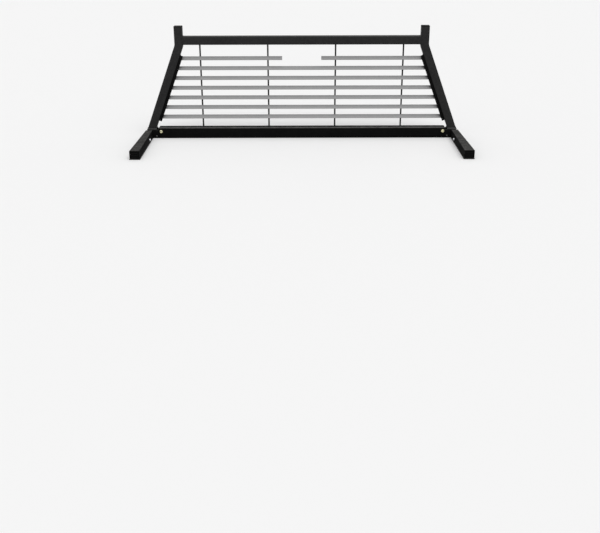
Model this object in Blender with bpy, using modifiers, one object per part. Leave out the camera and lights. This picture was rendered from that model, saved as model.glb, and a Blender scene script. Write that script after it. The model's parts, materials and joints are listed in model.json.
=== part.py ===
"""Louvered headache rack for a pickup bed, modelled piece by piece.

Metres, +Z up. X runs across the truck and the rack is symmetric about X = 0. The bed lies
towards -Y and the cab towards +Y. Z = 0 is the top of the bed rails, which the pads rest on.
The origin is the centre of the footprint.
"""

import math

import bmesh
import bpy
from mathutils import Matrix, Vector

# --- Fits -------------------------------------------------------------------------------
CLEARANCE = 0.0003           # gap between pieces that touch or are welded together
HOLE_CLEARANCE = 0.0005      # radial play of a bolt in its hole

# --- Square tube of the frame -----------------------------------------------------------
TUBE = 0.048
TUBE_WALL = 0.003
TUBE_CORNER = 0.004
LEAST_CORNER = 0.0005        # inner corner of a tube whose wall is as thick as its corner

# --- Uprights: a vertical horn, an elbow and a leg that leans outward ---------------------
HORN_HALF_SPAN = 0.749       # centre plane to the outer face of a horn
HORN_RISE = 0.058            # top of the top rail to the top of the horn caps
ELBOW_HEIGHT = 0.550         # where the centre lines of horn and leg meet
ELBOW_RADIUS = 0.060
ELBOW_STEPS = 6
LEG_LEAN = math.radians(21.1)
FRAME_SETBACK = 0.018        # rear face of the lower rail to the rear faces of the uprights

# --- Horn caps --------------------------------------------------------------------------
CAP_THICKNESS = 0.003
CAP_REACH = 0.018            # how far a cap or plug goes into its tube
CAP_WALL = 0.002
CAP_CORNER = 0.0015

# --- Top rail ---------------------------------------------------------------------------
TOP_RAIL_ABOVE_ELBOW = 0.006

# --- Lower rail: a formed channel, open towards the cab -----------------------------------
LOWER_RAIL_TOP = 0.063
LOWER_RAIL_UNDERSIDE = 0.002
LOWER_RAIL_SHEET = 0.003
LOWER_RAIL_BEND = 0.006      # outer radius of the sheet's bends
LOWER_RAIL_LEDGE = 0.005     # flange left in front of the guard rods
END_TAB_SKIM = 0.0001        # taken off the end tabs with the flanges, so that the cut is clean

# --- Louvers ----------------------------------------------------------------------------
LOUVER_ROWS = 7
LOUVER_WIDTH = 0.027
LOUVER_THICKNESS = 0.003
LOUVER_TILT = math.radians(45.0)
LOUVER_EDGE = 0.0006
GAP_BELOW_LOUVERS = 0.053    # lower rail to the lowest blade
GAP_ABOVE_LOUVERS = 0.069    # highest blade to the top rail
BRAKE_LIGHT_CUTOUT = 0.232   # length missing from the middle of the highest row

# --- Side angles that hold the blades' ends ------------------------------------------------
SIDE_ANGLE_SHEET = 0.003
SIDE_ANGLE_FLANGE = 0.018
SIDE_ANGLE_INSET = 0.003     # rear face of the upright to the rear face of the flange
SIDE_ANGLE_OVERRUN = 0.010   # how far an angle runs past the lowest and highest blades
SIDE_ANGLE_LEDGE = 0.004     # web left in front of the blades

# --- Guard rods -------------------------------------------------------------------------
ROD_COUNT = 4
ROD_RADIUS = 0.00475
ROD_INSET = 0.098            # inner face of a horn to the centre of the outer rod

# --- Rubber pads ------------------------------------------------------------------------
PAD_THICKNESS = 0.005
PAD_LIP = 0.002              # how far a foot's pad shows around the foot
PAD_EDGE = 0.001

# --- Feet: tapered box rails that lie along the bed rails -----------------------------------
FOOT_LENGTH = 0.470          # rear face of the lower rail to the rear end of the foot
FOOT_HEIGHT = 0.046
FOOT_FRONT_WIDTH = 0.040
FOOT_REAR_WIDTH = 0.057
FOOT_WALL = 0.003
FOOT_CORNER = 0.0025
FOOT_INSET = 0.030           # outer face of the leg's base to the inner side of the foot
PLUG_THICKNESS = 0.004

# --- Base plates and corner brackets -------------------------------------------------------
BASE_PLATE_THICKNESS = 0.006
BASE_PLATE_MARGIN = 0.002    # plate left around the leg, sideways
BASE_PLATE_FRONT = 0.004     # plate left in front of the leg
PLATE_EDGE = 0.001
BRACKET_PLATE = 0.005
BRACKET_FLOOR = 0.003
NOTCH_WIDTH = 0.016          # end of the lower rail's flanges to the base plate
TAB_REACH = 0.020            # bolt to the inboard end of the bracket's tab
TONGUE_END = 0.025           # foot bolt to the rear end of the bracket's tongue
TONGUE_HEIGHT = 0.028
TONGUE_THICKNESS = 0.005

# --- Fasteners --------------------------------------------------------------------------
RAIL_BOLT_RADIUS = 0.005     # yellow zinc, through the lower rail and the bracket's tab
RAIL_BOLT_FLATS = 0.017
RAIL_BOLT_HEAD = 0.0064
RAIL_WASHER_RADIUS = 0.012
RAIL_WASHER_THICKNESS = 0.002
RAIL_NUT_HEIGHT = 0.008
RAIL_BOLT_DROP = 0.019       # below the top of the lower rail
RAIL_BOLT_EDGE = 0.014       # inboard of the end of the rail's flanges

FOOT_BOLT_RADIUS = 0.004     # bright zinc, through the foot's inner side and the tongue
FOOT_BOLT_FLATS = 0.013
FOOT_BOLT_HEAD = 0.0053
FOOT_WASHER_RADIUS = 0.008
FOOT_WASHER_THICKNESS = 0.0016
FOOT_NUT_HEIGHT = 0.0065
FOOT_BOLT_SETBACK = 0.125    # behind the rear face of the lower rail
FOOT_BOLT_HEIGHT = 0.024

SCREW_RADIUS = 0.002         # small button head screw, rail to bracket
SCREW_HEAD_RADIUS = 0.004
SCREW_HEAD_HEIGHT = 0.0022
SCREW_HEIGHT = 0.015
SCREW_EDGE = 0.014           # outboard of the end of the rail's flanges

ANCHOR_RADIUS = 0.005        # weld nuts in the feet for the stake pocket bolts
ANCHOR_FLATS = 0.017
ANCHOR_HEIGHT = 0.009
ANCHOR_SETBACK = 0.190       # rear face of the lower rail to the front anchor
ANCHOR_END = 0.070           # rear anchor to the rear end of the foot
ANCHOR_PAD_HOLE = 0.009

BOLT_TAIL = 0.003            # bolt showing past its nut
HEX_CHAMFER = 0.0008

# --- Mesh fineness ----------------------------------------------------------------------
ROUND_STEPS = 24
CORNER_STEPS = 3
OVERCUT = 0.010              # how far a cutter runs past what it cuts

# --- Places that follow from the sizes above -------------------------------------------------
DEPTH_IN_FRONT = FRAME_SETBACK + TUBE + BASE_PLATE_FRONT
RAIL_FACE_Y = (FOOT_LENGTH - DEPTH_IN_FRONT) / 2
FRONT_Y = RAIL_FACE_Y + DEPTH_IN_FRONT
FOOT_END_Y = RAIL_FACE_Y - FOOT_LENGTH

UPRIGHT_REAR_Y = RAIL_FACE_Y + FRAME_SETBACK
UPRIGHT_Y = UPRIGHT_REAR_Y + TUBE / 2
HORN_X = HORN_HALF_SPAN - TUBE / 2
HORN_INNER_X = HORN_HALF_SPAN - TUBE
TOP_RAIL_Z = ELBOW_HEIGHT + TOP_RAIL_ABOVE_ELBOW
RACK_HEIGHT = TOP_RAIL_Z + TUBE + HORN_RISE

FOOT_Z = PAD_THICKNESS + CLEARANCE
FOOT_TOP_Z = FOOT_Z + FOOT_HEIGHT
BASE_PLATE_Z = FOOT_TOP_Z
LEG_BASE_Z = BASE_PLATE_Z + BASE_PLATE_THICKNESS + CLEARANCE
LEG_HALF_WIDTH = TUBE / 2 / math.cos(LEG_LEAN)      # measured level, not across the tube


def leg_centre_x(height):
    """Return the leg's centre line, sideways from the centre plane, at a height."""
    return HORN_X + math.tan(LEG_LEAN) * (ELBOW_HEIGHT - height)


LEG_OUTER_X = leg_centre_x(LEG_BASE_Z) + LEG_HALF_WIDTH
LEG_INNER_X = leg_centre_x(LEG_BASE_Z) - LEG_HALF_WIDTH
BASE_PLATE_INNER_X = LEG_INNER_X - BASE_PLATE_MARGIN
FLANGE_END_X = BASE_PLATE_INNER_X - NOTCH_WIDTH
BRACKET_OUTER_X = LEG_OUTER_X
FOOT_INNER_X = LEG_OUTER_X - FOOT_INSET

LOUVER_REAR_Y = UPRIGHT_REAR_Y + SIDE_ANGLE_INSET + SIDE_ANGLE_SHEET + CLEARANCE
LOUVER_DEPTH = LOUVER_WIDTH * math.cos(LOUVER_TILT) + LOUVER_THICKNESS * math.sin(LOUVER_TILT)
LOUVER_HEIGHT = LOUVER_WIDTH * math.sin(LOUVER_TILT) + LOUVER_THICKNESS * math.cos(LOUVER_TILT)
LOUVER_Y = LOUVER_REAR_Y + LOUVER_DEPTH / 2
LOWEST_LOUVER_Z = LOWER_RAIL_TOP + GAP_BELOW_LOUVERS + LOUVER_HEIGHT / 2
HIGHEST_LOUVER_Z = TOP_RAIL_Z - GAP_ABOVE_LOUVERS - LOUVER_HEIGHT / 2
ROD_Y = LOUVER_REAR_Y + LOUVER_DEPTH + CLEARANCE + ROD_RADIUS
LOWER_RAIL_FRONT_Y = ROD_Y + ROD_RADIUS + LOWER_RAIL_LEDGE

WEB_FRONT_Y = RAIL_FACE_Y + LOWER_RAIL_SHEET
BRACKET_REAR_Y = WEB_FRONT_Y + CLEARANCE
BRACKET_FRONT_Y = FRONT_Y - BASE_PLATE_FRONT
BRACKET_TOP_Z = BASE_PLATE_Z - CLEARANCE
TONGUE_X = FOOT_INNER_X + FOOT_WALL + CLEARANCE
RAIL_BOLT_X = FLANGE_END_X - RAIL_BOLT_EDGE
RAIL_BOLT_Z = LOWER_RAIL_TOP - RAIL_BOLT_DROP
FOOT_BOLT_Y = RAIL_FACE_Y - FOOT_BOLT_SETBACK
TONGUE_END_Y = FOOT_BOLT_Y - TONGUE_END
SCREW_X = FLANGE_END_X + SCREW_EDGE

SIDES = (("left", -1), ("right", 1))

# --- Finishes: colour, roughness, metallic ---------------------------------------------------
BLACK_COAT = ((0.026, 0.026, 0.027), 0.55, 0.0)
DEEP_BLACK_COAT = ((0.009, 0.009, 0.009), 0.50, 0.0)
GREY_BLADE = ((0.285, 0.285, 0.288), 0.50, 0.0)
BLACK_PLASTIC = ((0.012, 0.012, 0.012), 0.45, 0.0)
BLACK_RUBBER = ((0.036, 0.036, 0.036), 0.85, 0.0)
YELLOW_ZINC = ((0.720, 0.600, 0.330), 0.35, 1.0)
BRIGHT_ZINC = ((0.620, 0.630, 0.650), 0.32, 1.0)


# === Scene helpers ==========================================================================

def clear_scene():
    """Remove what the file opens with and return the parts' and the cutters' collections."""
    for thing in list(bpy.data.objects):
        bpy.data.objects.remove(thing, do_unlink=True)
    collections = []
    for name in ("headache_rack", "cutters"):
        collection = bpy.data.collections.new(name)
        bpy.context.scene.collection.children.link(collection)
        collections.append(collection)
    return collections


PARTS, CUTTERS = clear_scene()


def make_material(name, finish):
    """Return a Principled material with the finish's colour, roughness and metallic value."""
    colour, roughness, metallic = finish
    material = bpy.data.materials.new(name)
    material.use_nodes = True
    shader = material.node_tree.nodes["Principled BSDF"]
    shader.inputs["Base Color"].default_value = (*colour, 1.0)
    shader.inputs["Roughness"].default_value = roughness
    shader.inputs["Metallic"].default_value = metallic
    material.diffuse_color = (*colour, 1.0)
    return material


def add_object(name, data, finish=None, location=(0.0, 0.0, 0.0)):
    """Link a part, or a cutter when it has no finish, and return it."""
    thing = bpy.data.objects.new(name, data)
    thing.location = location
    if finish is None:
        thing.hide_render = True
        thing.display_type = "WIRE"
        CUTTERS.objects.link(thing)
    else:
        data.materials.append(make_material(name + "_finish", finish))
        PARTS.objects.link(thing)
    return thing


def mesh_from(bm, name):
    """Turn a bmesh into a mesh and free it."""
    mesh = bpy.data.meshes.new(name)
    bm.to_mesh(mesh)
    bm.free()
    return mesh


def add_block(name, low, high, finish=None):
    """Add a box between two corners, its origin at its centre."""
    low = Vector(low)
    high = Vector(high)
    bm = bmesh.new()
    bmesh.ops.create_cube(bm, size=1.0, matrix=Matrix.Diagonal((*(high - low), 1.0)))
    return add_object(name, mesh_from(bm, name), finish, (low + high) / 2)


def add_shaped_block(name, place, finish=None, location=(0.0, 0.0, 0.0)):
    """Add a cube whose corners go where place(x, y, z) says, for x, y and z of 0 or 1."""
    bm = bmesh.new()
    bmesh.ops.create_cube(bm, size=1.0)
    for vertex in bm.verts:
        vertex.co = Vector(place(*(step + 0.5 for step in vertex.co)))
    bmesh.ops.recalc_face_normals(bm, faces=bm.faces)
    return add_object(name, mesh_from(bm, name), finish, location)


def turn_to(axis):
    """Return the rotation that takes +Z to an axis."""
    return Vector((0.0, 0.0, 1.0)).rotation_difference(Vector(axis)).to_euler()


def add_cylinder(name, radius, low, high, finish=None, steps=ROUND_STEPS):
    """Add a cylinder, or a prism with few steps, between two points on its axis."""
    low = Vector(low)
    high = Vector(high)
    bm = bmesh.new()
    bmesh.ops.create_cone(
        bm, cap_ends=True, segments=steps, radius1=radius, radius2=radius,
        depth=(high - low).length,
    )
    part = add_object(name, mesh_from(bm, name), finish, (low + high) / 2)
    part.rotation_euler = turn_to(high - low)
    return part


def add_turned(name, profile, base, axis, finish=None, steps=ROUND_STEPS):
    """Add a solid turned from (radius, height) points, from its outer top round to its bore."""
    mesh = bpy.data.meshes.new(name)
    points = [(radius, 0.0, height) for radius, height in profile]
    count = len(points)
    closed = all(radius > 0.0 for radius, height in profile)
    edges = [(i, (i + 1) % count) for i in range(count if closed else count - 1)]
    mesh.from_pydata(points, edges, [])
    part = add_object(name, mesh, finish, base)
    part.rotation_euler = turn_to(axis)
    screw = part.modifiers.new("turn", "SCREW")
    screw.steps = steps
    screw.render_steps = steps
    screw.use_merge_vertices = True
    screw.merge_threshold = 0.00001
    screw.use_smooth_shade = True
    return part


def add_outline(name, loops, thickness, finish=None, matrix=None):
    """Add a flat outline with holes, extruded both ways from its plane, as a mesh."""
    curve = bpy.data.curves.new(name, "CURVE")
    curve.dimensions = "2D"
    curve.fill_mode = "BOTH"
    curve.extrude = thickness / 2
    for loop in loops:
        spline = curve.splines.new("POLY")
        spline.points.add(len(loop) - 1)
        for point, (x, y) in zip(spline.points, loop):
            point.co = (x, y, 0.0, 1.0)
        spline.use_cyclic_u = True
    guide = bpy.data.objects.new(name + "_outline", curve)
    bpy.context.scene.collection.objects.link(guide)
    guide.matrix_world = matrix or Matrix.Identity(4)
    bpy.context.view_layer.update()
    solid = bpy.data.meshes.new_from_object(
        guide.evaluated_get(bpy.context.evaluated_depsgraph_get())
    )
    solid.name = name
    bm = bmesh.new()
    bm.from_mesh(solid)
    bmesh.ops.remove_doubles(bm, verts=bm.verts, dist=0.00001)
    bmesh.ops.dissolve_limit(bm, angle_limit=math.radians(0.1), verts=bm.verts, edges=bm.edges)
    bmesh.ops.recalc_face_normals(bm, faces=bm.faces)
    bm.to_mesh(solid)
    bm.free()
    placement = guide.matrix_world.copy()
    bpy.data.objects.remove(guide, do_unlink=True)
    bpy.data.curves.remove(curve)
    part = add_object(name, solid, finish)
    part.matrix_world = placement
    return part


def bevel(part, width, segments=1, angle=30.0):
    """Round or chamfer the part's sharp edges."""
    modifier = part.modifiers.new("edges", "BEVEL")
    modifier.width = width
    modifier.segments = segments
    modifier.limit_method = "ANGLE"
    modifier.angle_limit = math.radians(angle)
    return part


def boolean(part, other, operation):
    """Join another solid to the part or cut it away, and keep that solid as a cutter."""
    modifier = part.modifiers.new(other.name, "BOOLEAN")
    modifier.operation = operation
    modifier.solver = "EXACT"
    modifier.object = other
    return part


def cut(part, cutter):
    """Cut a solid away from the part."""
    return boolean(part, cutter, "DIFFERENCE")


def join(part, other):
    """Join a solid to the part."""
    return boolean(part, other, "UNION")


def smooth(part, angle=35.0):
    """Shade the part smooth, with its edges sharp past an angle."""
    part.data.shade_smooth()
    part.data.set_sharp_from_angle(angle=math.radians(angle))
    return part


# === Outlines ===============================================================================

def rounded_rectangle(low, high, radius, steps=CORNER_STEPS):
    """Return the points of a rectangle between two corners, with rounded corners."""
    points = []
    corners = (
        (high[0] - radius, high[1] - radius, 0.0),
        (low[0] + radius, high[1] - radius, 90.0),
        (low[0] + radius, low[1] + radius, 180.0),
        (high[0] - radius, low[1] + radius, 270.0),
    )
    for x, y, start in corners:
        for step in range(steps + 1):
            angle = math.radians(start + 90.0 * step / steps)
            points.append((x + radius * math.cos(angle), y + radius * math.sin(angle)))
    return points


def tube_loops(low, high, wall, corner):
    """Return the outer and inner outlines of a rectangular tube."""
    inner_low = (low[0] + wall, low[1] + wall)
    inner_high = (high[0] - wall, high[1] - wall)
    return [
        rounded_rectangle(low, high, corner),
        rounded_rectangle(inner_low, inner_high, max(corner - wall, LEAST_CORNER)),
    ]


def upright_outline(side, half_width, top, bottom):
    """Return an upright's outline, seen from the front, at a half width of its tube."""
    half_lean = LEG_LEAN / 2
    start = ELBOW_HEIGHT + ELBOW_RADIUS * math.tan(half_lean)
    centre = (HORN_X + ELBOW_RADIUS, start)
    outboard = [(HORN_X + half_width, top)]
    inboard = [(HORN_X - half_width, top)]
    for step in range(ELBOW_STEPS + 1):
        angle = LEG_LEAN * step / ELBOW_STEPS
        for edge, radius in ((outboard, ELBOW_RADIUS - half_width),
                             (inboard, ELBOW_RADIUS + half_width)):
            edge.append((centre[0] - radius * math.cos(angle),
                         centre[1] - radius * math.sin(angle)))
    level_half_width = half_width / math.cos(LEG_LEAN)
    outboard.append((leg_centre_x(bottom) + level_half_width, bottom))
    inboard.append((leg_centre_x(bottom) - level_half_width, bottom))
    return [(side * x, z) for x, z in outboard + inboard[::-1]]


def foot_width(y):
    """Return the foot's outer width at a place along it."""
    share = (RAIL_FACE_Y - y) / FOOT_LENGTH
    return FOOT_FRONT_WIDTH + (FOOT_REAR_WIDTH - FOOT_FRONT_WIDTH) * share


def foot_space(side, front, rear, bottom, top, inset):
    """Return the corner rule of a block that follows the foot's taper, inset from its sides."""
    def place(across, along, up):
        y = rear + (front - rear) * along
        x = FOOT_INNER_X + inset + (foot_width(y) - 2 * inset) * across
        return (side * x, y, bottom + (top - bottom) * up)
    return place


FRONT_VIEW = Matrix.Rotation(math.radians(90.0), 4, "X")     # outline's y goes up, its z to -Y
SIDE_VIEW = Matrix(((0, 0, 1, 0), (1, 0, 0, 0), (0, 1, 0, 0), (0, 0, 0, 1)))  # x, y to Y, Z


# === Frame ==================================================================================

def build_upright(word, side):
    """Build one bent square tube: horn, elbow and leaning leg."""
    name = f"upright_{word}"
    top = RACK_HEIGHT - CAP_THICKNESS - CLEARANCE
    matrix = Matrix.Translation((0.0, UPRIGHT_Y, 0.0)) @ FRONT_VIEW
    outer = upright_outline(side, TUBE / 2, top + OVERCUT, LEG_BASE_Z - OVERCUT)
    part = add_outline(name, [outer], TUBE, BLACK_COAT, matrix)
    bevel(part, TUBE_CORNER, CORNER_STEPS)
    hollow = upright_outline(side, TUBE / 2 - TUBE_WALL, top + 3 * OVERCUT, LEG_BASE_Z - 3 * OVERCUT)
    cut(part, add_outline(f"{name}_bore", [hollow], TUBE - 2 * TUBE_WALL, None, matrix))
    reach = HORN_HALF_SPAN * 2
    low_y = UPRIGHT_REAR_Y - OVERCUT
    high_y = UPRIGHT_REAR_Y + TUBE + OVERCUT
    cut(part, add_block(f"{name}_top_trim", (-reach, low_y, top),
                        (reach, high_y, top + 4 * OVERCUT)))
    cut(part, add_block(f"{name}_base_trim", (-reach, low_y, LEG_BASE_Z - 4 * OVERCUT),
                        (reach, high_y, LEG_BASE_Z)))
    return smooth(part)


def build_horn_cap(word, side):
    """Build the plug that closes the top of a horn."""
    name = f"horn_cap_{word}"
    x = side * HORN_X
    half = TUBE / 2
    low_z = RACK_HEIGHT - CAP_THICKNESS
    plate = rounded_rectangle((x - half, UPRIGHT_Y - half), (x + half, UPRIGHT_Y + half), TUBE_CORNER)
    part = add_outline(name, [plate], CAP_THICKNESS, BLACK_PLASTIC,
                       Matrix.Translation((0.0, 0.0, low_z + CAP_THICKNESS / 2)))
    bevel(part, CAP_CORNER / 2)
    inner = half - TUBE_WALL - CLEARANCE
    skirt = [
        rounded_rectangle((x - size, UPRIGHT_Y - size), (x + size, UPRIGHT_Y + size), CAP_CORNER)
        for size in (inner, inner - CAP_WALL)
    ]
    overlap = CAP_THICKNESS / 2
    height = CAP_REACH + overlap
    join(part, add_outline(f"{name}_skirt", skirt, height, None,
                           Matrix.Translation((0.0, 0.0, low_z + overlap - height / 2))))
    return part


def build_top_rail():
    """Build the square tube between the horns."""
    length = 2 * (HORN_INNER_X - CLEARANCE)
    half = TUBE / 2
    matrix = Matrix.Translation((0.0, UPRIGHT_Y, TOP_RAIL_Z + half)) @ SIDE_VIEW
    part = add_outline("top_rail", tube_loops((-half, -half), (half, half), TUBE_WALL, TUBE_CORNER),
                       length, BLACK_COAT, matrix)
    return smooth(part)


def channel_outline():
    """Return the lower rail's section as (y, z) points, open towards the cab."""
    outer = LOWER_RAIL_BEND
    inner = outer - LOWER_RAIL_SHEET
    rear = RAIL_FACE_Y
    low = LOWER_RAIL_UNDERSIDE
    high = LOWER_RAIL_TOP
    centres = ((rear + outer, high - outer), (rear + outer, low + outer))
    outside = []
    inside = []
    for (y, z), start in zip(centres, (90.0, 180.0)):
        for step in range(CORNER_STEPS + 1):
            angle = math.radians(start + 90.0 * step / CORNER_STEPS)
            outside.append((y + outer * math.cos(angle), z + outer * math.sin(angle)))
            inside.append((y + inner * math.cos(angle), z + inner * math.sin(angle)))
    front = LOWER_RAIL_FRONT_Y
    outside = [(front, high)] + outside + [(front, low)]
    inside = [(front, high - LOWER_RAIL_SHEET)] + inside + [(front, low + LOWER_RAIL_SHEET)]
    return outside + inside[::-1]


def build_lower_rail():
    """Build the formed channel, with its web running on past the flanges as end tabs."""
    part = add_outline("lower_rail", [channel_outline()], 2 * BRACKET_OUTER_X, DEEP_BLACK_COAT,
                       SIDE_VIEW)
    for word, side in SIDES:
        near = side * FLANGE_END_X
        far = side * (BRACKET_OUTER_X + OVERCUT)
        low_x, high_x = sorted((near, far))
        cut(part, add_block(
            f"lower_rail_flange_trim_{word}",
            (low_x, WEB_FRONT_Y - END_TAB_SKIM, LOWER_RAIL_UNDERSIDE - OVERCUT),
            (high_x, LOWER_RAIL_FRONT_Y + OVERCUT, LOWER_RAIL_TOP + OVERCUT),
        ))
        cut(part, add_block(
            f"lower_rail_web_trim_{word}",
            (low_x, RAIL_FACE_Y - OVERCUT, BRACKET_TOP_Z),
            (high_x, LOWER_RAIL_FRONT_Y + OVERCUT, BRACKET_TOP_Z + LOWER_RAIL_TOP + OVERCUT),
        ))
        low_x, high_x = sorted((side * (TONGUE_X - 2 * CLEARANCE),
                                side * (TONGUE_X + TONGUE_THICKNESS + 2 * CLEARANCE)))
        half = TONGUE_HEIGHT / 2 + 2 * CLEARANCE
        cut(part, add_block(
            f"lower_rail_slot_{word}",
            (low_x, RAIL_FACE_Y - OVERCUT, FOOT_BOLT_HEIGHT - half),
            (high_x, WEB_FRONT_Y + OVERCUT, FOOT_BOLT_HEIGHT + half),
        ))
        for use, radius, x, z in (
            ("bolt", RAIL_BOLT_RADIUS, RAIL_BOLT_X, RAIL_BOLT_Z),
            ("screw", SCREW_RADIUS, SCREW_X, SCREW_HEIGHT),
        ):
            cut(part, add_cylinder(
                f"lower_rail_{use}_hole_{word}", radius + HOLE_CLEARANCE,
                (side * x, RAIL_FACE_Y - OVERCUT, z), (side * x, WEB_FRONT_Y + OVERCUT, z),
            ))
    return smooth(part)


# === Louver panel ===========================================================================

def blade_end_x(height):
    """Return where a blade ends against the side angle, at a height."""
    inner = leg_centre_x(height) - LEG_HALF_WIDTH
    return inner - (SIDE_ANGLE_SHEET + 2 * CLEARANCE) / math.cos(LEG_LEAN)


def build_louver(name, centre_z, left_end, right_end):
    """Build one tilted blade; each end is a rule that gives x at a height."""
    sine = math.sin(LOUVER_TILT)
    cosine = math.cos(LOUVER_TILT)

    def place(along, across, through):
        across = (across - 0.5) * LOUVER_WIDTH
        through = (through - 0.5) * LOUVER_THICKNESS
        y = across * cosine - through * sine
        z = across * sine + through * cosine
        end = right_end if along > 0.5 else left_end
        return (end(centre_z + z), y, z)

    part = add_shaped_block(name, place, GREY_BLADE, (0.0, LOUVER_Y, centre_z))
    return bevel(part, LOUVER_EDGE)


def build_louvers():
    """Build every row; the highest leaves its middle open for the brake light."""
    rise = (HIGHEST_LOUVER_Z - LOWEST_LOUVER_Z) / (LOUVER_ROWS - 1)
    half_cutout = BRAKE_LIGHT_CUTOUT / 2
    build_louver("louver_1_left", HIGHEST_LOUVER_Z,
                 lambda z: -blade_end_x(z), lambda z: -half_cutout)
    build_louver("louver_1_right", HIGHEST_LOUVER_Z,
                 lambda z: half_cutout, blade_end_x)
    for row in range(1, LOUVER_ROWS):
        build_louver(f"louver_{row + 1}", HIGHEST_LOUVER_Z - row * rise,
                     lambda z: -blade_end_x(z), blade_end_x)


def build_side_angle(word, side):
    """Build the angle on the leg's inner face that holds the blades' ends."""
    low = LOWEST_LOUVER_Z - LOUVER_HEIGHT / 2 - SIDE_ANGLE_OVERRUN
    high = HIGHEST_LOUVER_Z + LOUVER_HEIGHT / 2 + SIDE_ANGLE_OVERRUN
    middle = (low + high) / 2
    length = (high - low) / math.cos(LEG_LEAN)
    face = leg_centre_x(middle) - LEG_HALF_WIDTH
    inboard = Vector((-side * math.cos(LEG_LEAN), 0.0, -math.sin(LEG_LEAN)))
    upward = Vector((-side * math.sin(LEG_LEAN), 0.0, math.cos(LEG_LEAN)))
    third = upward.cross(inboard)
    matrix = Matrix((inboard, third, upward)).transposed().to_4x4()
    matrix.translation = (side * face, UPRIGHT_REAR_Y + SIDE_ANGLE_INSET, middle)
    web = SIDE_ANGLE_SHEET + CLEARANCE + LOUVER_DEPTH + SIDE_ANGLE_LEDGE
    points = (
        (0.0, 0.0), (SIDE_ANGLE_FLANGE, 0.0), (SIDE_ANGLE_FLANGE, SIDE_ANGLE_SHEET),
        (SIDE_ANGLE_SHEET, SIDE_ANGLE_SHEET), (SIDE_ANGLE_SHEET, web), (0.0, web),
    )
    outline = [(CLEARANCE + across, third.y * along) for across, along in points]
    return add_outline(f"side_angle_{word}", [outline], length, DEEP_BLACK_COAT, matrix)


def build_guard_rods():
    """Build the rods that stand in front of the blades, from rail to rail."""
    outer = HORN_INNER_X - ROD_INSET
    for index in range(ROD_COUNT):
        x = outer * (2 * index / (ROD_COUNT - 1) - 1)
        rod = add_cylinder(
            f"guard_rod_{index + 1}", ROD_RADIUS,
            (x, ROD_Y, LOWER_RAIL_TOP + CLEARANCE), (x, ROD_Y, TOP_RAIL_Z - CLEARANCE), BLACK_COAT,
        )
        smooth(rod)


# === Corners and feet =========================================================================

def build_base_plate(word, side):
    """Build the plate that a leg stands on."""
    low_x, high_x = sorted((side * BASE_PLATE_INNER_X, side * (LEG_OUTER_X + BASE_PLATE_MARGIN)))
    part = add_block(
        f"base_plate_{word}", (low_x, RAIL_FACE_Y, BASE_PLATE_Z),
        (high_x, FRONT_Y, BASE_PLATE_Z + BASE_PLATE_THICKNESS), BLACK_COAT,
    )
    return bevel(part, PLATE_EDGE)


def build_corner_bracket(word, side):
    """Build the bracket that joins leg, lower rail and foot."""
    name = f"corner_bracket_{word}"

    def plate(use, near, far, low_y, high_y, low_z, high_z, finish=None):
        low_x, high_x = sorted((side * near, side * far))
        return add_block(f"{name}{use}", (low_x, low_y, low_z), (high_x, high_y, high_z), finish)

    rear_front = BRACKET_REAR_Y + BRACKET_PLATE
    bottom = FOOT_Z
    inner = FLANGE_END_X + CLEARANCE
    outer = BRACKET_OUTER_X
    tab_end = RAIL_BOLT_X - TAB_REACH
    tab_low = LOWER_RAIL_UNDERSIDE + LOWER_RAIL_BEND
    tab_high = LOWER_RAIL_TOP - LOWER_RAIL_BEND
    tongue_low = FOOT_BOLT_HEIGHT - TONGUE_HEIGHT / 2
    tongue_high = FOOT_BOLT_HEIGHT + TONGUE_HEIGHT / 2
    part = plate("", inner, outer, BRACKET_REAR_Y, rear_front, bottom, BRACKET_TOP_Z,
                 DEEP_BLACK_COAT)
    others = (
        plate("_tab", tab_end, inner + BRACKET_PLATE, BRACKET_REAR_Y, rear_front, tab_low,
              tab_high),
        plate("_floor", inner, outer, BRACKET_REAR_Y, BRACKET_FRONT_Y, bottom,
              bottom + BRACKET_FLOOR),
        plate("_front", inner, outer, BRACKET_FRONT_Y - BRACKET_PLATE, BRACKET_FRONT_Y, bottom,
              BRACKET_TOP_Z),
        plate("_outer", outer - BRACKET_PLATE, outer, BRACKET_REAR_Y, BRACKET_FRONT_Y, bottom,
              BRACKET_TOP_Z),
        plate("_tongue", TONGUE_X, TONGUE_X + TONGUE_THICKNESS, TONGUE_END_Y,
              BRACKET_REAR_Y + BRACKET_PLATE / 2, tongue_low, tongue_high),
    )
    for other in others:
        join(part, other)
    for use, radius, x, z in (
        ("bolt", RAIL_BOLT_RADIUS, RAIL_BOLT_X, RAIL_BOLT_Z),
        ("screw", SCREW_RADIUS, SCREW_X, SCREW_HEIGHT),
    ):
        cut(part, add_cylinder(
            f"{name}_{use}_hole", radius + HOLE_CLEARANCE,
            (side * x, BRACKET_REAR_Y - OVERCUT, z), (side * x, rear_front + OVERCUT, z),
        ))
    cut(part, add_cylinder(
        f"{name}_foot_bolt_hole", FOOT_BOLT_RADIUS + HOLE_CLEARANCE,
        (side * (TONGUE_X - OVERCUT), FOOT_BOLT_Y, FOOT_BOLT_HEIGHT),
        (side * (TONGUE_X + TONGUE_THICKNESS + OVERCUT), FOOT_BOLT_Y, FOOT_BOLT_HEIGHT),
    ))
    return part


def build_corner_pad(word, side):
    """Build the rubber pad under a corner bracket."""
    low_x, high_x = sorted((side * (FLANGE_END_X + CLEARANCE), side * BRACKET_OUTER_X))
    part = add_block(f"corner_pad_{word}", (low_x, BRACKET_REAR_Y, 0.0),
                     (high_x, BRACKET_FRONT_Y, PAD_THICKNESS), BLACK_RUBBER)
    return bevel(part, PAD_EDGE)


def anchor_points(side):
    """Return where the stake pocket bolts pass a foot, front one first."""
    places = (RAIL_FACE_Y - ANCHOR_SETBACK, FOOT_END_Y + ANCHOR_END)
    return [(side * (FOOT_INNER_X + foot_width(y) / 2), y) for y in places]


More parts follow.
